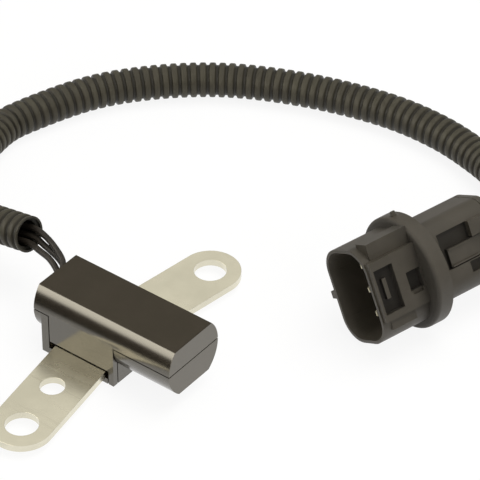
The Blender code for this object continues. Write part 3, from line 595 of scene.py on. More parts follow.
polished = spread(tree, at_end, 0.0, 1.0, FLANK_IOR, END_IOR)
link(tree, spread(tree, on_top, 0.0, 1.0, polished, TOP_IOR), shader.inputs["IOR"])
shader.inputs["Specular Tint"].default_value = (1.0, 0.95, 0.83, 1.0)
relief = add_relief(tree, shader, surface.outputs["Height"], 0.012 * MM)
link(tree, math_node(tree, "ADD", on_top, FLANK_RELIEF), relief.inputs["Strength"])
print("matt above", round(TOP_FLAT / MM, 1), "mm")

# %% [markdown]
# The bracket is pressed from sheet steel and zinc plated. Zinc is a soft grey metal with a warm
# haze, never a mirror: the plating has cloudy patches and faint scratches across the plate.

# %% Zinc plating
zinc_plate, tree, shader = new_material("zinc_plate")
surface = place_group(
    tree, grain, colour=(0.58, 0.55, 0.44), drift=(0.67, 0.635, 0.51),
    gloss=0.15, dull=0.26, grain_size=1500.0, patch_size=70.0,
)
marks = place_group(tree, scratches, density=420.0, stretch=0.08).outputs["Mask"]
duller = math_node(tree, "MULTIPLY", marks, 0.10)
worn = math_node(tree, "ADD", surface.outputs["Roughness"], duller)
link(tree, surface.outputs["Color"], shader.inputs["Base Color"])
link(tree, worn, shader.inputs["Roughness"])
shader.inputs["Metallic"].default_value = 1.0
add_relief(tree, shader, marks, 0.004 * MM)
print("finish:", zinc_plate.name)

# %% [markdown]
# The loom is thin polyethylene, dark olive grey and a little waxy. Its grooves hold less light and
# some dust, so painted shade and dust darken the colour there: the colour follows the height of the
# rings, which the loom's mesh carries as an attribute of its own.

# %% Loom plastic
loom_plastic, tree, shader = new_material("loom_plastic")
surface = place_group(
    tree, grain, colour=(0.042, 0.037, 0.025), drift=(0.060, 0.054, 0.037),
    gloss=0.34, dull=0.52, grain_size=1800.0, patch_size=160.0,
)
ring_height = tree.nodes.new("ShaderNodeAttribute")
ring_height.attribute_name = "ring_height"
# The groove colour: painted shade, with some dust.
groove = tree.nodes.new("ShaderNodeRGB")
groove.outputs[0].default_value = (0.020, 0.018, 0.013, 1.0)
ring_colour = mix_colours(
    tree, ring_height.outputs["Fac"], groove.outputs[0], surface.outputs["Color"],
)
link(tree, ring_colour, shader.inputs["Base Color"])
link(tree, surface.outputs["Roughness"], shader.inputs["Roughness"])
shader.inputs["Specular IOR Level"].default_value = 0.28
add_relief(tree, shader, surface.outputs["Height"], 0.015 * MM)
print("finish:", loom_plastic.name)

# %% [markdown]
# The connector's plastic is a warm grey-brown. Little light reaches the floors of its narrow
# pockets or the corner in front of the flange, so painted shade darkens the colour there, and the
# roughness is raised there too. The places are measured in the connector's own frame, into which
# a mapping node turns the coordinates.

# %% Masks in a frame of their own


def mm(low, high):
    """Two limits that are given in millimetres."""
    return low * MM, high * MM


def inside(tree, place, limits, edge):
    """1 within a box and 0 outside it, with a soft edge; place holds the three coordinates."""
    mask = 1.0
    for axis, (low, high) in zip("XYZ", limits):
        low, high = mm(low, high)
        over = spread(tree, place.outputs[axis], low, low + edge, 0.0, 1.0)
        under = spread(tree, place.outputs[axis], high - edge, high, 1.0, 0.0)
        mask = math_node(tree, "MULTIPLY", math_node(tree, "MULTIPLY", over, under), mask)
    return mask


# %% Connector plastic
# The limits of the four recess floors that get painted shade, along X, Y and Z in the connector's
# frame, in mm: the latch pocket, the window behind it, and the lock's recess and release pocket in
# the rear body.
RECESS_FLOORS = (
    ((-14.1, -7.7), (-10.1, -7.9), (-5.2, 7.2)),
    ((-5.0, -0.2), (-10.1, -7.9), (-2.5, 3.1)),
    ((8.3, 22.2), (-8.1, -6.8), (-2.7, 7.7)),
    ((15.8, 22.2), (-8.1, -6.8), (-6.0, -2.6)),
)
LATCH_BUMP_TOP = ((-11.7, -10.3), (-9.5, -9.0), (-1.6, 4.1))
RECESS_EDGE = 0.25 * MM
BUMP_EDGE = 0.12 * MM
BEFORE_FLANGE = mm(-4.5, -0.2)
FLANGE_FACE = mm(0.2, 0.9)
RECESS_SHADE = 0.85
FLANGE_SHADE = 0.5
DEEP_ROUGHNESS = 0.9
connector_plastic, tree, shader = new_material("connector_plastic")
surface = place_group(
    tree, grain, colour=(0.040, 0.034, 0.024), drift=(0.054, 0.046, 0.034),
    gloss=0.36, dull=0.55, grain_size=2200.0, patch_size=110.0,
)
where = tree.nodes.new("ShaderNodeTexCoord")
own_frame = tree.nodes.new("ShaderNodeMapping")
own_frame.vector_type = "TEXTURE"
own_frame.inputs["Location"].default_value = connector_frame.translation
own_frame.inputs["Rotation"].default_value = connector_frame.to_euler()
link(tree, where.outputs["Object"], own_frame.inputs["Vector"])
place = tree.nodes.new("ShaderNodeSeparateXYZ")
link(tree, own_frame.outputs["Vector"], place.inputs[0])
# Painted shade on the four recess floors, left off the top of the latch bump.
recesses = 0.0
for limits in RECESS_FLOORS:
    recesses = math_node(tree, "MAXIMUM", inside(tree, place, limits, RECESS_EDGE), recesses)
off_bump = math_node(tree, "SUBTRACT", 1.0, inside(tree, place, LATCH_BUMP_TOP, BUMP_EDGE))
floors = math_node(tree, "MULTIPLY", recesses, off_bump)
floors = math_node(tree, "MULTIPLY", floors, RECESS_SHADE)
# Painted shade in the corner in front of the flange, strongest next to the flange face.
towards_flange = spread(tree, place.outputs["X"], *BEFORE_FLANGE, 0.0, FLANGE_SHADE)
before_rim = spread(tree, place.outputs["X"], *FLANGE_FACE, 1.0, 0.0)
corner = math_node(tree, "MULTIPLY", towards_flange, before_rim)
painted_shade = math_node(tree, "MAXIMUM", floors, corner)
# The near-black colour that the painted shade mixes in.
shade = tree.nodes.new("ShaderNodeRGB")
shade.outputs[0].default_value = (0.006, 0.005, 0.004, 1.0)
shaded = mix_colours(tree, painted_shade, surface.outputs["Color"], shade.outputs[0])
rougher = spread(tree, painted_shade, 0.0, 1.0, surface.outputs["Roughness"], DEEP_ROUGHNESS)
link(tree, shaded, shader.inputs["Base Color"])
link(tree, rougher, shader.inputs["Roughness"])
add_relief(tree, shader, surface.outputs["Height"], 0.02 * MM)
print("finish:", connector_plastic.name, "with", len(RECESS_FLOORS), "darker floors")

# %% [markdown]
# The other finishes are plain uses of the grain: matt rubber jackets and seals, tinned brass pins,
# and the parts that the housing hides. Only their colours, gloss and grain sizes differ.

# %% The other finishes
lead_jacket = grainy(
    "lead_jacket", (0.015, 0.012, 0.009), (0.030, 0.025, 0.019), 0.34, 0.52,
    bump=0.02 * MM, mirror=0.3, grain_size=1200.0, patch_size=420.0,
)
lock_plastic = grainy(
    "lock_plastic", (0.016, 0.014, 0.011), (0.024, 0.021, 0.017), 0.45, 0.60,
    grain_size=2200.0,
)
pin_plating = grainy(
    "pin_plating", (0.93, 0.85, 0.60), (0.97, 0.92, 0.72), 0.20, 0.34,
    bump=0.004 * MM, metallic=0.6, patch_size=500.0,
)
seal_rubber = grainy(
    "seal_rubber", (0.020, 0.019, 0.018), (0.034, 0.032, 0.030), 0.62, 0.82,
    grain_size=1600.0,
)
chip_epoxy = grainy(
    "chip_epoxy", (0.014, 0.014, 0.014), (0.022, 0.022, 0.022), 0.42, 0.58,
    grain_size=3000.0,
)
soft_iron = grainy(
    "soft_iron", (0.42, 0.42, 0.42), (0.50, 0.49, 0.48), 0.25, 0.45,
    bump=0.004 * MM, metallic=1.0, patch_size=300.0,
)
magnet_alloy = grainy(
    "magnet_alloy", (0.16, 0.16, 0.17), (0.22, 0.22, 0.23), 0.28, 0.42,
    bump=0.004 * MM, metallic=1.0, patch_size=400.0,
)
carrier_nylon = grainy(
    "carrier_nylon", (0.52, 0.50, 0.43), (0.58, 0.56, 0.49), 0.42, 0.56,
    grain_size=2000.0,
)
board_mask = grainy(
    "board_mask", (0.020, 0.14, 0.060), (0.028, 0.18, 0.080), 0.25, 0.38,
    grain_size=1800.0, patch_size=300.0,
)
fired_ceramic = grainy(
    "fired_ceramic", (0.40, 0.26, 0.14), (0.48, 0.32, 0.18), 0.35, 0.50,
    patch_size=700.0,
)
crimp_brass = grainy(
    "crimp_brass", (0.68, 0.53, 0.25), (0.76, 0.62, 0.33), 0.22, 0.38,
    bump=0.004 * MM, metallic=1.0, patch_size=500.0,
)
print("materials:", len(bpy.data.materials))

# %% [markdown]
# The pieces are modelled as by hand: a primitive is placed, its vertices or faces are changed in
# edit mode, other solids are joined to it or cut from it, and its edges are rounded last. A few
# short helpers keep those steps readable. Each finished piece has its place in its mesh, with
# the object at the origin.

# %% Modelling helpers
MERGE = 1e-7
CLOSE = 1e-6
SAME_PLANE = math.radians(0.3)
SHARP = math.radians(32.0)


def only(obj):
    """Selects this object alone, and makes it active."""
    deselect()
    obj.select_set(True)
    bpy.context.view_layer.objects.active = obj


def fix_place(obj):
    """Writes the object's place, turn and size into its mesh."""
    only(obj)
    bpy.ops.object.transform_apply(location=True, rotation=True, scale=True)
    return obj


def add_rod(name, axis, radius, low, high, centre=(0.0, 0.0), sides=64):
    """A round rod along an axis; centre gives the place on the two other axes, in order."""
    deselect()
    bpy.ops.mesh.primitive_cylinder_add(vertices=sides, radius=radius, depth=high - low)
    rod = bpy.context.active_object
    rod.name = name
    middle = (low + high) / 2
    if axis == "X":
        rod.rotation_euler = (0.0, math.pi / 2, 0.0)
        rod.location = (middle, *centre)
    elif axis == "Y":
        rod.rotation_euler = (math.pi / 2, 0.0, 0.0)
        rod.location = (centre[0], middle, centre[1])
    else:
        rod.location = (*centre, middle)
    return fix_place(rod)


def add_block(name, x, y, z):
    """A block between two limits on each axis."""
    deselect()
    middle = [(pair[0] + pair[1]) / 2 for pair in (x, y, z)]
    bpy.ops.mesh.primitive_cube_add(size=1.0, location=middle)
    obj = bpy.context.active_object
    obj.name = name
    obj.scale = [pair[1] - pair[0] for pair in (x, y, z)]
    return fix_place(obj)


def edit(obj):
    """Edit mode on one object with everything selected."""
    only(obj)
    bpy.ops.object.mode_set(mode="EDIT")
    bpy.ops.mesh.select_mode(type="VERT")
    bpy.ops.mesh.select_all(action="SELECT")


def done():
    bpy.ops.object.mode_set(mode="OBJECT")


def pick(obj, wanted, kind="VERT"):
    """In edit mode, selects just the vertices, edges or faces that a test wants."""
    bpy.ops.mesh.select_mode(type=kind)
    bpy.ops.mesh.select_all(action="DESELECT")
    mesh = bmesh.from_edit_mesh(obj.data)
    parts = {"VERT": mesh.verts, "EDGE": mesh.edges, "FACE": mesh.faces}[kind]
    for part in parts:
        if wanted(part):
            part.select = True
    mesh.select_flush_mode()
    bmesh.update_edit_mesh(obj.data)


def middle_of(part):
    return sum((v.co for v in part.verts), Vector()) / len(part.verts)


def slice_off(obj, point, normal):
    """Cuts a piece along a plane, takes off the side that the normal points to, and caps it."""
    edit(obj)
    bpy.ops.mesh.bisect(
        plane_co=point, plane_no=normal, use_fill=True, clear_outer=True, threshold=MERGE,
    )
    done()
    return obj


def combine(target, operation, tools):
    for tool in tools:
        step = target.modifiers.new("step", "BOOLEAN")
        step.operation = operation
        step.solver = "EXACT"
        step.object = tool
        only(target)
        bpy.ops.object.modifier_apply(modifier=step.name)
        bpy.data.objects.remove(tool)
    return target


def cut(target, *tools):
    return combine(target, "DIFFERENCE", tools)


def join(target, *tools):
    return combine(target, "UNION", tools)


def own_copy(obj, name):
    """A copy of a piece with a mesh of its own."""
    copied = obj.copy()
    copied.data = obj.data.copy()
    copied.name = name
    bpy.context.scene.collection.objects.link(copied)
    return copied


def rounded(obj, width, segments=3):
    """Rounds the sharp edges with a bevel. The shading follows the large faces, which stay flat."""
    edit(obj)
    bpy.ops.mesh.remove_doubles(threshold=MERGE)
    bpy.ops.mesh.dissolve_limited(angle_limit=SAME_PLANE)
    bpy.ops.mesh.normals_make_consistent(inside=False)
    done()
    bevel = obj.modifiers.new("edges", "BEVEL")
    bevel.width = width
    bevel.segments = segments
    bevel.limit_method = "ANGLE"
    bevel.angle_limit = SHARP
    bevel.miter_outer = "MITER_ARC"
    weighted = obj.modifiers.new("flat_faces", "WEIGHTED_NORMAL")
    weighted.weight = 60
    bpy.context.view_layer.objects.active = obj
    bpy.ops.object.modifier_apply(modifier=bevel.name)
    bpy.ops.object.shade_smooth()
    bpy.ops.object.modifier_apply(modifier=weighted.name)
    return obj


def finish_piece(obj, node, material):
    """Gives a piece its finish, and puts it in the place of its CAD node."""
    obj.name = node + "_finished"
    obj.data.materials.clear()
    obj.data.materials.append(material)
    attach(obj, "root")
    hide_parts(node)
    print(obj.name, len(obj.data.polygons), "faces")
    return obj


# %% [markdown]
# The loom is a thin tube of plastic blown into rings, so that it bends easily. It is swept along
# its route: a ring of vertices is set square to the curve at each small step, and carried on
# without twisting. The radius follows the profile of one ring, repeated every 2.7 mm: a
# crest with rounded shoulders and a narrow groove. The crest's top is broader than the groove, as
# in the photograph, and the cut end at the mouth falls on a crest.

# %% Loom
RING_PROFILE = (
    (0.08, 0.0), (0.14, 0.12), (0.19, 0.60), (0.25, 0.93), (0.33, 1.0), (0.50, 1.02),
    (0.67, 1.0), (0.75, 0.93), (0.81, 0.60), (0.86, 0.12), (0.92, 0.0),
)
LOOM_SIDES = 40


def along(points, distances):
    """For each distance along a curve: the point there and its direction."""
    run = [0.0]
    for a, b in zip(points, points[1:]):
        run.append(run[-1] + (b - a).length)
    directions = [(b - a).normalized() for a, b in zip(points, points[1:])]
    at_points = [directions[0]]
    at_points += [(a + b).normalized() for a, b in zip(directions, directions[1:])]
    at_points.append(directions[-1])
    found = []
    k = 0
    for distance in distances:
        while k < len(run) - 2 and run[k + 1] < distance:
            k += 1
        share = min(max((distance - run[k]) / (run[k + 1] - run[k]), 0.0), 1.0)
        place = points[k].lerp(points[k + 1], share)
        found.append((place, at_points[k].lerp(at_points[k + 1], share).normalized()))
    return found


loom_length = length_of(loom_route)
ring_count = round(loom_length / LOOM_PITCH)
pitch = loom_length / ring_count
profile = []
for ring in range(ring_count + 1):
    profile += [((ring - 0.5 + share) * pitch, height) for share, height in RING_PROFILE]
profile = [p for p in profile if -MERGE < p[0] < loom_length + MERGE]
root_radius = LOOM_ROOT_DIAMETER / 2
crest_height = LOOM_DIAMETER / 2 - root_radius
print("rings:", ring_count, "stations:", len(profile))

# %% [markdown]
# The outer rings and the plain inner wall are one closed skin, joined round both cut ends. The cut
# runs through a crest, so the wall is followed outwards there, and the open mouth shows how thin
# it is. A float attribute keeps each vertex's height in the ring for the material, so the loom
# needs no UV map.

# %% Sweep the loom along its route


def swept_rings(bm, points, stations, sides, first_normal):
    """Rings of vertices square to a curve, one for each (distance, radius) station."""
    normal = Vector(first_normal)
    rings = []
    for (place, direction), (_, radius) in zip(along(points, [s[0] for s in stations]), stations):
        normal = (normal - direction * normal.dot(direction)).normalized()
        across = direction.cross(normal)
        ring = []
        for i in range(sides):
            turn = 2 * math.pi * i / sides
            arm = normal * math.cos(turn) + across * math.sin(turn)
            ring.append(bm.verts.new(place + arm * radius))
        rings.append(ring)
    return rings


def join_rings(bm, first, second):
    for i in range(len(first)):
        j = (i + 1) % len(first)
        bm.faces.new((first[i], first[j], second[j], second[i]))


CREST_END = 0.28
ROOT_START = 0.40
mesh = bmesh.new()
ring_height = mesh.verts.layers.float.new("ring_height")
outer_stations = [(d, root_radius + crest_height * h) for d, h in profile]
inner_radius = root_radius - LOOM_WALL
inner_count = 2 * ring_count
inner_stations = [(loom_length * i / inner_count, inner_radius) for i in range(1, inner_count + 1)]
in_crest = LOOM_DIAMETER / 2 - LOOM_WALL
inner_stations[:0] = [
    (0.0, in_crest), (CREST_END * pitch, in_crest), (ROOT_START * pitch, inner_radius),
]
outer = swept_rings(mesh, loom_route, outer_stations, LOOM_SIDES, (0.0, 0.0, 1.0))
inner = swept_rings(mesh, loom_route, inner_stations, LOOM_SIDES, (0.0, 0.0, 1.0))
for first, second in zip(outer, outer[1:]):
    join_rings(mesh, first, second)
for first, second in zip(inner, inner[1:]):
    join_rings(mesh, second, first)
join_rings(mesh, inner[0], outer[0])
join_rings(mesh, outer[-1], inner[-1])
for ring, (_, height) in zip(outer, profile):
    for vert in ring:
        vert[ring_height] = min(max(height, 0.0), 1.0)
loom_mesh = bpy.data.meshes.new("loom_finished")
mesh.to_mesh(loom_mesh)
mesh.free()
loom = bpy.data.objects.new("loom_finished", loom_mesh)
bpy.context.scene.collection.objects.link(loom)
only(loom)
bpy.ops.object.shade_smooth_by_angle(angle=math.radians(60.0))
finish_piece(loom, "loom", loom_plastic)
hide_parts("loom_mouth")

# %% [markdown]
# Each lead is a round jacket 1.7 mm thick. It starts in its crimp on the board, goes through the
# grommet in the end wall, crosses to the loom's mouth with a little slack, and lies on the
# loom's wall inside. A curve with a bevel gives a clean round jacket, with eight points to each
# stretch of the route.

# %% Leads
leads = {}
for name, route in lead_routes.items():
    curve = bpy.data.curves.new(name + "_finished", "CURVE")
    curve.dimensions = "3D"
    curve.bevel_depth = LEAD_DIAMETER / 2
    curve.bevel_resolution = 6
    curve.use_fill_caps = True
    spline = curve.splines.new("POLY")
    points = through(route, sub=8)
    spline.points.add(len(points) - 1)
    for spot, place in zip(spline.points, points):
        spot.co = (*place, 1.0)
    spline.use_smooth = True
    curve.materials.append(lead_jacket)
    lead = bpy.data.objects.new(name + "_finished", curve)
    bpy.context.scene.collection.objects.link(lead)
    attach(lead, "root")
    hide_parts(name)
    leads[name] = (lead, length_of(points))
print({name: round(length / MM, 1) for name, (_, length) in leads.items()})

# %% [markdown]
# The housing is moulded round its parts in two shells that meet in a thin line. Each starts as a
# round barrel with 128 sides, which shows no facets, and is cut off flat at the top or the
# bottom and along the seam. The upper shell carries a skirt down each flank of the boss, with a
# foot in front of the bracket. What is joined overlaps a little, so that the solids become one,
# and what cuts reaches a little past the faces. The edges are rounded last, all at once, since a
# moulded part has the same small radius nearly everywhere.

# %% Housing sizes
BARREL_RADIUS = 9.9 * MM
TOP_FLAT_RISE = 6.7 * MM
BOTTOM_FLAT_DROP = 7.9 * MM
SHELL_WALL = 1.8 * MM
SENSING_WALL = 1.2 * MM
WIRE_END_WALL = 2.5 * MM
BOSS_BACK = 19.7 * MM
BOSS_FRONT = 3.9 * MM
SKIRT_BACK = -17.1 * MM
SKIRT_WALL = 1.6 * MM
SKIRT_FOOT = 1.6 * MM
PLATE_THICKNESS = 2.0 * MM
PLATE_UNDERSIDE = 1.9 * MM
PLATE_WIDTH = 16.4 * MM
SLOT_PLAY = 0.9 * MM
GROMMET_RADIUS = 3.4 * MM
GROMMET_LIP = 0.6 * MM
GROMMET_LIP_DEPTH = 1.2 * MM
BARREL_SIDES = 128
OVERLAP = 1.0 * MM

seam = GAP / 2
cavity_front = sensing_face - SENSING_WALL
cavity_back = wire_face + WIRE_END_WALL
plate_top = PLATE_UNDERSIDE + PLATE_THICKNESS
slot_top = plate_top + GAP
slot_floor = PLATE_UNDERSIDE - GAP
skirt_inner = BARREL_RADIUS - SKIRT_WALL
foot_back = BOSS_FRONT - SKIRT_FOOT
lip_radius = GROMMET_RADIUS + GROMMET_LIP
lip_front = cavity_back + GAP + GROMMET_LIP_DEPTH
print("cavity from", round(cavity_back / MM, 1), "to", round(cavity_front / MM, 1), "mm")


def half_barrel(name, radius, flat, side, low, high, seam_gap):
    """A rod on the housing's axis, cut off at its flat and along the seam."""
    rod = add_rod(name, "X", radius, low, high, (0.0, AXIS_HEIGHT), BARREL_SIDES)
    slice_off(rod, (0.0, 0.0, AXIS_HEIGHT + side * flat), (0.0, 0.0, side))
    slice_off(rod, (0.0, 0.0, AXIS_HEIGHT + side * seam_gap), (0.0, 0.0, -side))
    return rod


def grommet_seats():
    """The hole in the end wall for the grommet's neck, and the groove for its lip."""
    neck = add_rod("neck", "X", GROMMET_RADIUS + GAP, wire_face - GAP, cavity_back + GAP,
                   GROMMET_CENTRE)
    lip = add_rod("lip", "X", lip_radius + GAP, cavity_back, lip_front + GAP, GROMMET_CENTRE)
    return neck, lip


# %% Upper shell
upper = half_barrel("upper", BARREL_RADIUS, TOP_FLAT_RISE, 1, wire_face, sensing_face, seam)
for side in (-1, 1):
    flank = sorted((side * skirt_inner, side * BARREL_RADIUS))
    join(
        upper,
        add_block("skirt", (SKIRT_BACK, BOSS_FRONT), flank, (slot_top, AXIS_HEIGHT + OVERLAP)),
        add_block("foot", (foot_back, BOSS_FRONT), flank, (0.0, slot_top + OVERLAP)),
    )
cut(
    upper,
    half_barrel("hollow", BARREL_RADIUS - SHELL_WALL, TOP_FLAT_RISE - SHELL_WALL, 1,
                cavity_back, cavity_front, 0.0),
    *grommet_seats(),
)
rounded(upper, 0.4 * MM)
finish_piece(upper, "upper_shell", housing_plastic)

# %% [markdown]
# The lower shell is the rest of the barrel with the boss under it. The boss is as wide as the
# barrel and ends in a tab behind the skirts. It is recessed on both flanks so that the skirts
# lie flush, and slotted right through for the bracket, with a little play.

# %% Swept plate outline, for the slot and for the bracket
BOLT_SPACING = 76.2 * MM
BOLT_X = -2.5 * MM
PLATE_APEX_X = -8.4 * MM
BOLT_HOLE = 8.7 * MM
LOCATING_HOLE = 6.6 * MM
LOCATING_INSET = 15.9 * MM
LOCATING_SHIFT = 0.75 * MM
bolt_y = BOLT_SPACING / 2
sweep = math.atan2(BOLT_X - PLATE_APEX_X, bolt_y)


def swept_plate(name, width, apex_x, low, high):
    """One arm is a round rod stretched along the sweep; the other is its mirror image."""
    tip = Vector((apex_x + BOLT_X - PLATE_APEX_X, bolt_y, 0.0))
    along_arm = Vector((math.sin(sweep), math.cos(sweep), 0.0))
    arm = add_rod(name, "Z", width / 2, low, high, (tip.x, tip.y), sides=96)
    edit(arm)
    pick(arm, lambda v: (v.co - tip).dot(along_arm) < -CLOSE)
    bpy.ops.transform.translate(value=along_arm * -(BOLT_SPACING / 2 + width))
    done()
    slice_off(arm, (0.0, 0.0, 0.0), (0.0, -1.0, 0.0))
    edit(arm)
    pick(arm, lambda f: abs(middle_of(f).y) < CLOSE and abs(f.normal.y) > 0.9, "FACE")
    bpy.ops.mesh.delete(type="FACE")
    done()
    half = own_copy(arm, name + "_mirrored")
    edit(half)
    bpy.ops.transform.resize(value=(1.0, -1.0, 1.0), center_override=(0.0, 0.0, 0.0))
    done()
    only(arm)
    half.select_set(True)
    bpy.ops.object.join()
    edit(arm)
    bpy.ops.mesh.remove_doubles(threshold=CLOSE)
    bpy.ops.mesh.normals_make_consistent(inside=False)
    done()
    return arm


# %% Lower shell
lower = half_barrel("lower", BARREL_RADIUS, BOTTOM_FLAT_DROP, -1, wire_face, sensing_face, seam)
join(
    lower,
    add_block("boss", (-BOSS_BACK, BOSS_FRONT), (-BARREL_RADIUS, BARREL_RADIUS),
              (0.0, AXIS_HEIGHT - seam)),
)
beyond = BARREL_RADIUS + OVERLAP
for side in (-1, 1):
    flank = sorted((side * (skirt_inner - GAP), side * beyond))
    cut(
        lower,
        add_block("recess", (SKIRT_BACK - GAP, BOSS_FRONT + GAP), flank,
                  (slot_floor + GAP, AXIS_HEIGHT)),
        add_block("foot_recess", (foot_back - GAP, BOSS_FRONT + GAP), flank, (-GAP, slot_top)),
    )
cut(
    lower,
    half_barrel("hollow", skirt_inner - GAP - SHELL_WALL, BOTTOM_FLAT_DROP - SHELL_WALL, -1,
                cavity_back, cavity_front, 0.0),
    *grommet_seats(),
    swept_plate("slot", PLATE_WIDTH + GAP + SLOT_PLAY, PLATE_APEX_X + (SLOT_PLAY - GAP) / 2,
                slot_floor, slot_top),
)
rounded(lower, 0.35 * MM)
finish_piece(lower, "lower_shell", housing_plastic)

# %% [markdown]
# The bracket is one flat pressing, 2 mm thick, with round ends and two arms swept towards the
# sensing end. Two clear holes take the bolts, and the smaller one takes a dowel that sets the
# sensor's angle. A press leaves a small round on the upper edge, and the plate goes right through
# the housing's slot, so it is one piece.

# %% Bracket
bracket = swept_plate("bracket", PLATE_WIDTH, PLATE_APEX_X, PLATE_UNDERSIDE, plate_top)
locating = (
    BOLT_X - LOCATING_INSET * math.sin(sweep) - LOCATING_SHIFT * math.cos(sweep),
    -bolt_y + LOCATING_INSET * math.cos(sweep) - LOCATING_SHIFT * math.sin(sweep),
)
for centre, hole in (
    ((BOLT_X, bolt_y), BOLT_HOLE),
    ((BOLT_X, -bolt_y), BOLT_HOLE),
    (locating, LOCATING_HOLE),
):
    cut(bracket, add_rod("hole", "Z", hole / 2, PLATE_UNDERSIDE - GAP, plate_top + GAP, centre, 96))
rounded(bracket, 0.18 * MM)
finish_piece(bracket, "mounting_bracket", zinc_plate)

# %% [markdown]
# The connector is modelled lying straight along X from the front face of its flange, and is
# moved to its place last. Its shroud is an oval tube round the pins: a block whose four long
# edges are rounded in edit mode. The latch side has a raised block, where the mating plug's latch
# slides in and locks, and a rail on each side of it. On the other side a key keeps the plug from
# going in the wrong way round.

# %% Connector sizes
SHROUD_LENGTH = 15.0 * MM
SHROUD_HEIGHT = 25.8 * MM
SHROUD_WIDTH = 18.0 * MM
SHROUD_CORNER = 6.5 * MM
SHROUD_WALL = 1.6 * MM
FLANGE_DIAMETER = 31.0 * MM
FLANGE_THICKNESS = 4.7 * MM
REAR_LENGTH = 20.3 * MM
REAR_HEIGHT = 22.0 * MM
REAR_WIDTH = 17.0 * MM
REAR_CORNER = 5.0 * MM
REAR_WALL = 2.0 * MM
SOCKET_DEPTH = 16.5 * MM
WEB_THICKNESS = 8.0 * MM
PIN_LOCK_HEIGHT = 18.4 * MM
PIN_LOCK_WIDTH = 5.4 * MM
SINK = 0.5 * MM

shroud_face = -SHROUD_LENGTH
socket_floor = shroud_face + SOCKET_DEPTH
web_back = socket_floor + WEB_THICKNESS
rear_face = FLANGE_THICKNESS + REAR_LENGTH
side_face = -SHROUD_WIDTH / 2
rear_side = -REAR_WIDTH / 2
print("connector from", round(shroud_face / MM, 1), "to", round(rear_face / MM, 1), "mm")


def oval(name, width, height, corner, low, high):
    """A block along X with its four long edges rounded."""
    obj = add_block(name, (low, high), (-width / 2, width / 2), (-height / 2, height / 2))
    edit(obj)
    pick(obj, lambda e: abs((e.verts[0].co - e.verts[1].co).x) > CLOSE, "EDGE")
    bpy.ops.mesh.bevel(offset=corner, segments=12, affect="EDGES")
    done()
    return obj


def to_connector(obj):
    obj.matrix_world = connector_frame
    return fix_place(obj)


# %% Shroud with the latch block and its rails
LATCH_RISE = 1.3 * MM
LATCH_ROOT = 2.0 * MM
KEY_LENGTH = 6.0 * MM
KEY_RISE = 1.7 * MM
latch_face = side_face - LATCH_RISE
latch_root = side_face + LATCH_ROOT
key_sides = (-side_face - 1.0 * MM, -side_face + KEY_RISE)
shell = oval("shell", SHROUD_WIDTH, SHROUD_HEIGHT, SHROUD_CORNER, shroud_face, SINK)
join(
    shell,
    add_block("latch", mm(-14.6, 0.5), (latch_face, latch_root), mm(-6.8, 9.3)),
    add_block("upper_rail", mm(-12.6, 0.5), mm(-8.5, -4.0), mm(6.4, 13.7)),
    add_block("lower_rail", mm(-12.6, -4.6), (side_face, latch_root), mm(-9.6, -5.8)),
    add_block("key", (shroud_face, shroud_face + KEY_LENGTH), key_sides, mm(-1.0, 1.0)),
)
print("shroud:", len(shell.data.polygons), "faces")

# %% [markdown]
# The flange is a thick round disc with a small nub on its rim, narrower at the tip. The disc's
# front edge has a generous round, which is bevelled on the disc alone before it joins the rest,
# because the other edges keep a smaller one.

# %% Flange and rear body
FLANGE_FILLET = 1.1 * MM
FLANGE_NUB = 1.2 * MM
FLANGE_NUB_TURN = math.radians(6.0)
flange_radius = FLANGE_DIAMETER / 2
flange = add_rod("flange", "X", flange_radius, 0.0, FLANGE_THICKNESS, sides=128)
edit(flange)
pick(flange, lambda e: max(v.co.x for v in e.verts) < CLOSE, "EDGE")
bpy.ops.mesh.bevel(offset=FLANGE_FILLET, segments=6, affect="EDGES")
done()
nub_root, nub_tip = flange_radius - GAP, flange_radius + FLANGE_NUB
nub = add_block("nub", mm(1.75, 2.95), mm(-0.6, 0.6), (nub_root, nub_tip))
edit(nub)
pick(nub, lambda v: v.co.z > flange_radius)
bpy.ops.transform.resize(value=(1.0, 0.5, 1.0), center_override=(0.0, 0.0, 0.0))
bpy.ops.mesh.select_all(action="SELECT")
done()
nub.rotation_euler = (FLANGE_NUB_TURN, 0.0, 0.0)
fix_place(nub)
rear = oval("rear", REAR_WIDTH, REAR_HEIGHT, REAR_CORNER, 0.2 * MM, rear_face)
join(shell, rear, flange, nub)
print("with flange and rear body:", len(shell.data.polygons), "faces")

# %% [markdown]
# The socket is an oval too. It has a lead-in at its mouth that guides the plug: an oval whose
# inner end is drawn together to the socket's own size, so the wall thins towards the open edge.

# %% Socket and bores
LIP = 0.75 * MM
LEAD_IN_LENGTH = 3.0 * MM
socket_width = SHROUD_WIDTH - 2 * SHROUD_WALL
socket_height = SHROUD_HEIGHT - 2 * SHROUD_WALL
mouth_width = SHROUD_WIDTH - 2 * LIP
mouth_height = SHROUD_HEIGHT - 2 * LIP
narrowing = (1.0, socket_width / mouth_width, socket_height / mouth_height)
lock_half_width = PIN_LOCK_WIDTH / 2 + GAP
lock_half_height = PIN_LOCK_HEIGHT / 2 + GAP
bore_width = REAR_WIDTH - 2 * REAR_WALL
bore_height = REAR_HEIGHT - 2 * REAR_WALL
before_face = shroud_face - GAP
lead_in = oval("lead_in", mouth_width, mouth_height, SHROUD_CORNER - LIP,
               before_face, shroud_face + LEAD_IN_LENGTH)
edit(lead_in)
pick(lead_in, lambda v: v.co.x > shroud_face)
bpy.ops.transform.resize(value=narrowing, center_override=(0.0, 0.0, 0.0))
done()
cut(
    shell,
    oval("socket", socket_width, socket_height, SHROUD_CORNER - SHROUD_WALL,
         before_face, socket_floor),
    lead_in,
    oval("rear_bore", bore_width, bore_height, REAR_CORNER - REAR_WALL, web_back, rear_face + GAP),
    add_block("lock_hole", (socket_floor - GAP, web_back + GAP),
              (-lock_half_width, lock_half_width), (-lock_half_height, lock_half_height)),
)
print("with socket and bores:", len(shell.data.polygons), "faces")

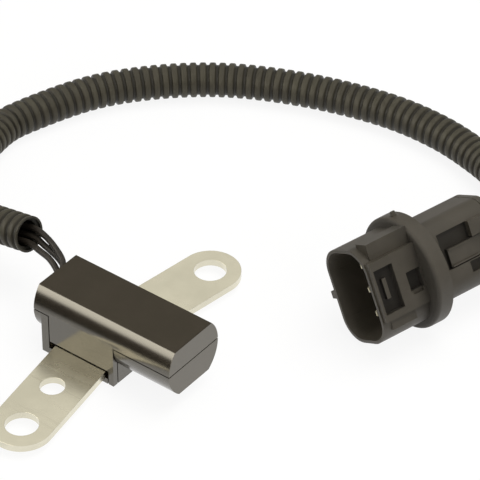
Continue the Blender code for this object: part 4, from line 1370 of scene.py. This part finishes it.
# %% [markdown]
# The latch block has a pocket for the plug's latch, with a window and a ledge behind it. A bump
# in the pocket is what the latch snaps over. In the rear body's side a second moulding, the pin
# lock's bar, lies in a recess with a tab over its end, and two thin ribs run along it.

# %% Latch pockets and lock recess
POCKET_DEPTH = 2.0 * MM
LEDGE_DEPTH = 0.7 * MM
LOCK_RECESS_DEPTH = 1.5 * MM
pocket_floor = latch_face + POCKET_DEPTH
recess_floor = rear_side + LOCK_RECESS_DEPTH
pocket_sides = (latch_face - GAP, pocket_floor)
ledge_sides = (latch_face - GAP, latch_face + LEDGE_DEPTH)
recess_sides = (rear_side - GAP, recess_floor)
cut(
    shell,
    add_block("pocket", mm(-13.9, -7.9), pocket_sides, mm(-5.0, 7.0)),
    add_block("window", mm(-4.8, -0.4), pocket_sides, mm(-2.3, 2.9)),
    add_block("ledge", mm(-4.3, -1.0), ledge_sides, mm(-3.3, 0.0)),
    add_block("recess", mm(8.5, 22.0), recess_sides, mm(-2.5, 7.5)),
    add_block("release", mm(16.0, 22.0), recess_sides, mm(-5.8, -2.8)),
)
print("after the cuts:", len(shell.data.polygons), "faces")

# %% Latch bump, lock bar and tab
LATCH_BUMP_RISE = 1.0 * MM
LOCK_TAB_RISE = 1.0 * MM
BAR_SETBACK = 0.2 * MM
RIB_RISE = 0.15 * MM
bump_sides = (pocket_floor - LATCH_BUMP_RISE, pocket_floor + GAP)
bar_sides = (rear_side + BAR_SETBACK, recess_floor + GAP)
rib_sides = (rear_side - RIB_RISE, recess_floor)
tab_sides = (rear_side - LOCK_TAB_RISE, recess_floor + GAP)
join(
    shell,
    add_block("bump", mm(-11.6, -10.4), bump_sides, mm(-1.5, 4.0)),
    add_block("bar", mm(10.5, 22.3), bar_sides, mm(-2.2, 2.8)),
    add_block("upper_rib", mm(10.7, 17.8), rib_sides, mm(2.35, 2.75)),
    add_block("lower_rib", mm(10.7, 19.5), rib_sides, mm(-2.15, -1.75)),
    add_block("tab", mm(18.3, 24.7), tab_sides, mm(3.3, 7.5)),
)
rounded(shell, 0.22 * MM)
to_connector(shell)
finish_piece(shell, "connector_shell", connector_plastic)

# %% [markdown]
# The three pins are flat blades in a row. Each blade's tip is tapered on all four sides, which
# leads it into the mating terminal. Behind the socket's floor the blade has a round shoulder, and
# a barrel that reaches into the wire seal. One pin is modelled, and each of the three is a copy
# with a mesh of its own.

# %% Pins
PIN_PITCH = 6.6 * MM
PIN_WIDTH = 2.3 * MM
PIN_THICKNESS = 0.8 * MM
PIN_SETBACK = 4.5 * MM
PIN_TIP = 1.1 * MM
PIN_SHOULDER = 2.4 * MM
PIN_BARREL = 1.1 * MM
PIN_TAIL = 4.0 * MM
pin_front = shroud_face + PIN_SETBACK
shoulder_front = socket_floor + WEB_THICKNESS / 2
shoulder_back = web_back - OVERLAP
pin_back = web_back + GAP + PIN_TAIL
pin = add_block("pin", (pin_front, shoulder_front + OVERLAP),
                (-PIN_THICKNESS / 2, PIN_THICKNESS / 2), (-PIN_WIDTH / 2, PIN_WIDTH / 2))
edit(pin)
bpy.ops.mesh.bisect(
    plane_co=(pin_front + PIN_TIP, 0.0, 0.0), plane_no=(1.0, 0.0, 0.0), threshold=MERGE,
)
pick(pin, lambda v: v.co.x < pin_front + CLOSE)
bpy.ops.transform.resize(value=(1.0, 0.45, 0.55), center_override=(pin_front, 0.0, 0.0))
done()
join(
    pin,
    add_rod("shoulder", "X", PIN_SHOULDER / 2, shoulder_front, shoulder_back, sides=40),
    add_rod("barrel", "X", PIN_BARREL, shoulder_back - GAP, pin_back, sides=40),
)
rounded(pin, 0.06 * MM, segments=2)
for name, place in (("pin_power", 1), ("pin_signal", 0), ("pin_ground", -1)):
    blade = own_copy(pin, name)
    blade.location = (0.0, 0.0, place * PIN_PITCH)
    fix_place(blade)
    to_connector(blade)
    finish_piece(blade, name, pin_plating)
bpy.data.objects.remove(pin)

# %% [markdown]
# Behind the rear body a cap holds the wire seal, and a collar grips the loom on the cap's
# spigot. Both are plain turned or moulded forms, and only their edges are rounded.

# %% Rear cap
CAP_THICKNESS = 1.8 * MM
CAP_PLUG = 2.6 * MM
SPIGOT_LENGTH = 3.0 * MM
SPIGOT_BORE = 5.6 * MM
cap_front = rear_face + GAP
cap_rear = rear_face + GAP + CAP_THICKNESS
plug_front = rear_face - CAP_PLUG
spigot_end = cap_rear + SPIGOT_LENGTH
cap = oval("cap", REAR_WIDTH, REAR_HEIGHT, REAR_CORNER, cap_front, cap_rear)
join(
    cap,
    oval("plug", bore_width - 2 * GAP, bore_height - 2 * GAP, REAR_CORNER - REAR_WALL - GAP,
         plug_front, cap_front + SINK),
    add_rod("spigot", "X", LOOM_DIAMETER / 2, cap_rear - SINK, spigot_end, sides=96),
)
cut(cap, add_rod("bore", "X", SPIGOT_BORE / 2, plug_front - GAP, spigot_end + GAP))
rounded(cap, 0.3 * MM)
to_connector(cap)
finish_piece(cap, "rear_cap", connector_plastic)

# %% Collar
COLLAR_WALL = 1.4 * MM
collar_inner = LOOM_DIAMETER / 2 + 2 * GAP
collar_front = cap_rear + GAP
collar_end = collar_front + COLLAR_LENGTH
collar = add_rod("collar", "X", collar_inner + COLLAR_WALL, collar_front, collar_end, sides=96)
cut(collar, add_rod("bore", "X", collar_inner, collar_front - GAP, collar_end + GAP, sides=96))
rounded(collar, 0.4 * MM)
to_connector(collar)
finish_piece(collar, "loom_collar", connector_plastic)

# %% [markdown]
# The parts inside keep their CAD meshes: the chip, the slug and magnet in their carrier, the
# board with what it carries, the grommet, the pin lock and the wire seal. Only their finish is
# new.

# %% Finishes of the inner pieces
for name, material, slot in (
    ("hall_sensor", chip_epoxy, "chip"),
    ("pole_piece", soft_iron, "iron"),
    ("bias_magnet", magnet_alloy, "magnet"),
    ("magnet_carrier", carrier_nylon, "carrier"),
    ("circuit_board", board_mask, "board"),
    ("filter_capacitor", fired_ceramic, "ceramic"),
    ("pull_up_resistor", chip_epoxy, "chip"),
    ("crimp_power", crimp_brass, "crimp"),
    ("crimp_signal", crimp_brass, "crimp"),
    ("crimp_ground", crimp_brass, "crimp"),
    ("wire_grommet", seal_rubber, "seal"),
    ("pin_lock", lock_plastic, "lock"),
    ("wire_seal", seal_rubber, "seal"),
):
    node = nodes[name]
    node.data.materials.clear()
    node.data.materials.append(material)
print("inner pieces finished")

# %% [markdown]
# The connector's pieces are gathered last, once they exist. The loom leaves the head's leads at
# its mouth and ends in the connector, with the pins, lock, seal, cap and collar on it. Each lead
# goes from the wire end's bore into the loom, and the point where it leaves the bore is read from
# its route.

finished = ("connector_shell", "pin_power", "pin_signal", "pin_ground", "rear_cap", "loom_collar")
connector_pieces = [bpy.data.objects[name + "_finished"] for name in finished]
connector_pieces += [nodes["pin_lock"], nodes["wire_seal"]]
for name, (lead, length) in leads.items():
    place = lead_routes[name][EXIT_POINT]
print("cords:", 1 + len(leads))
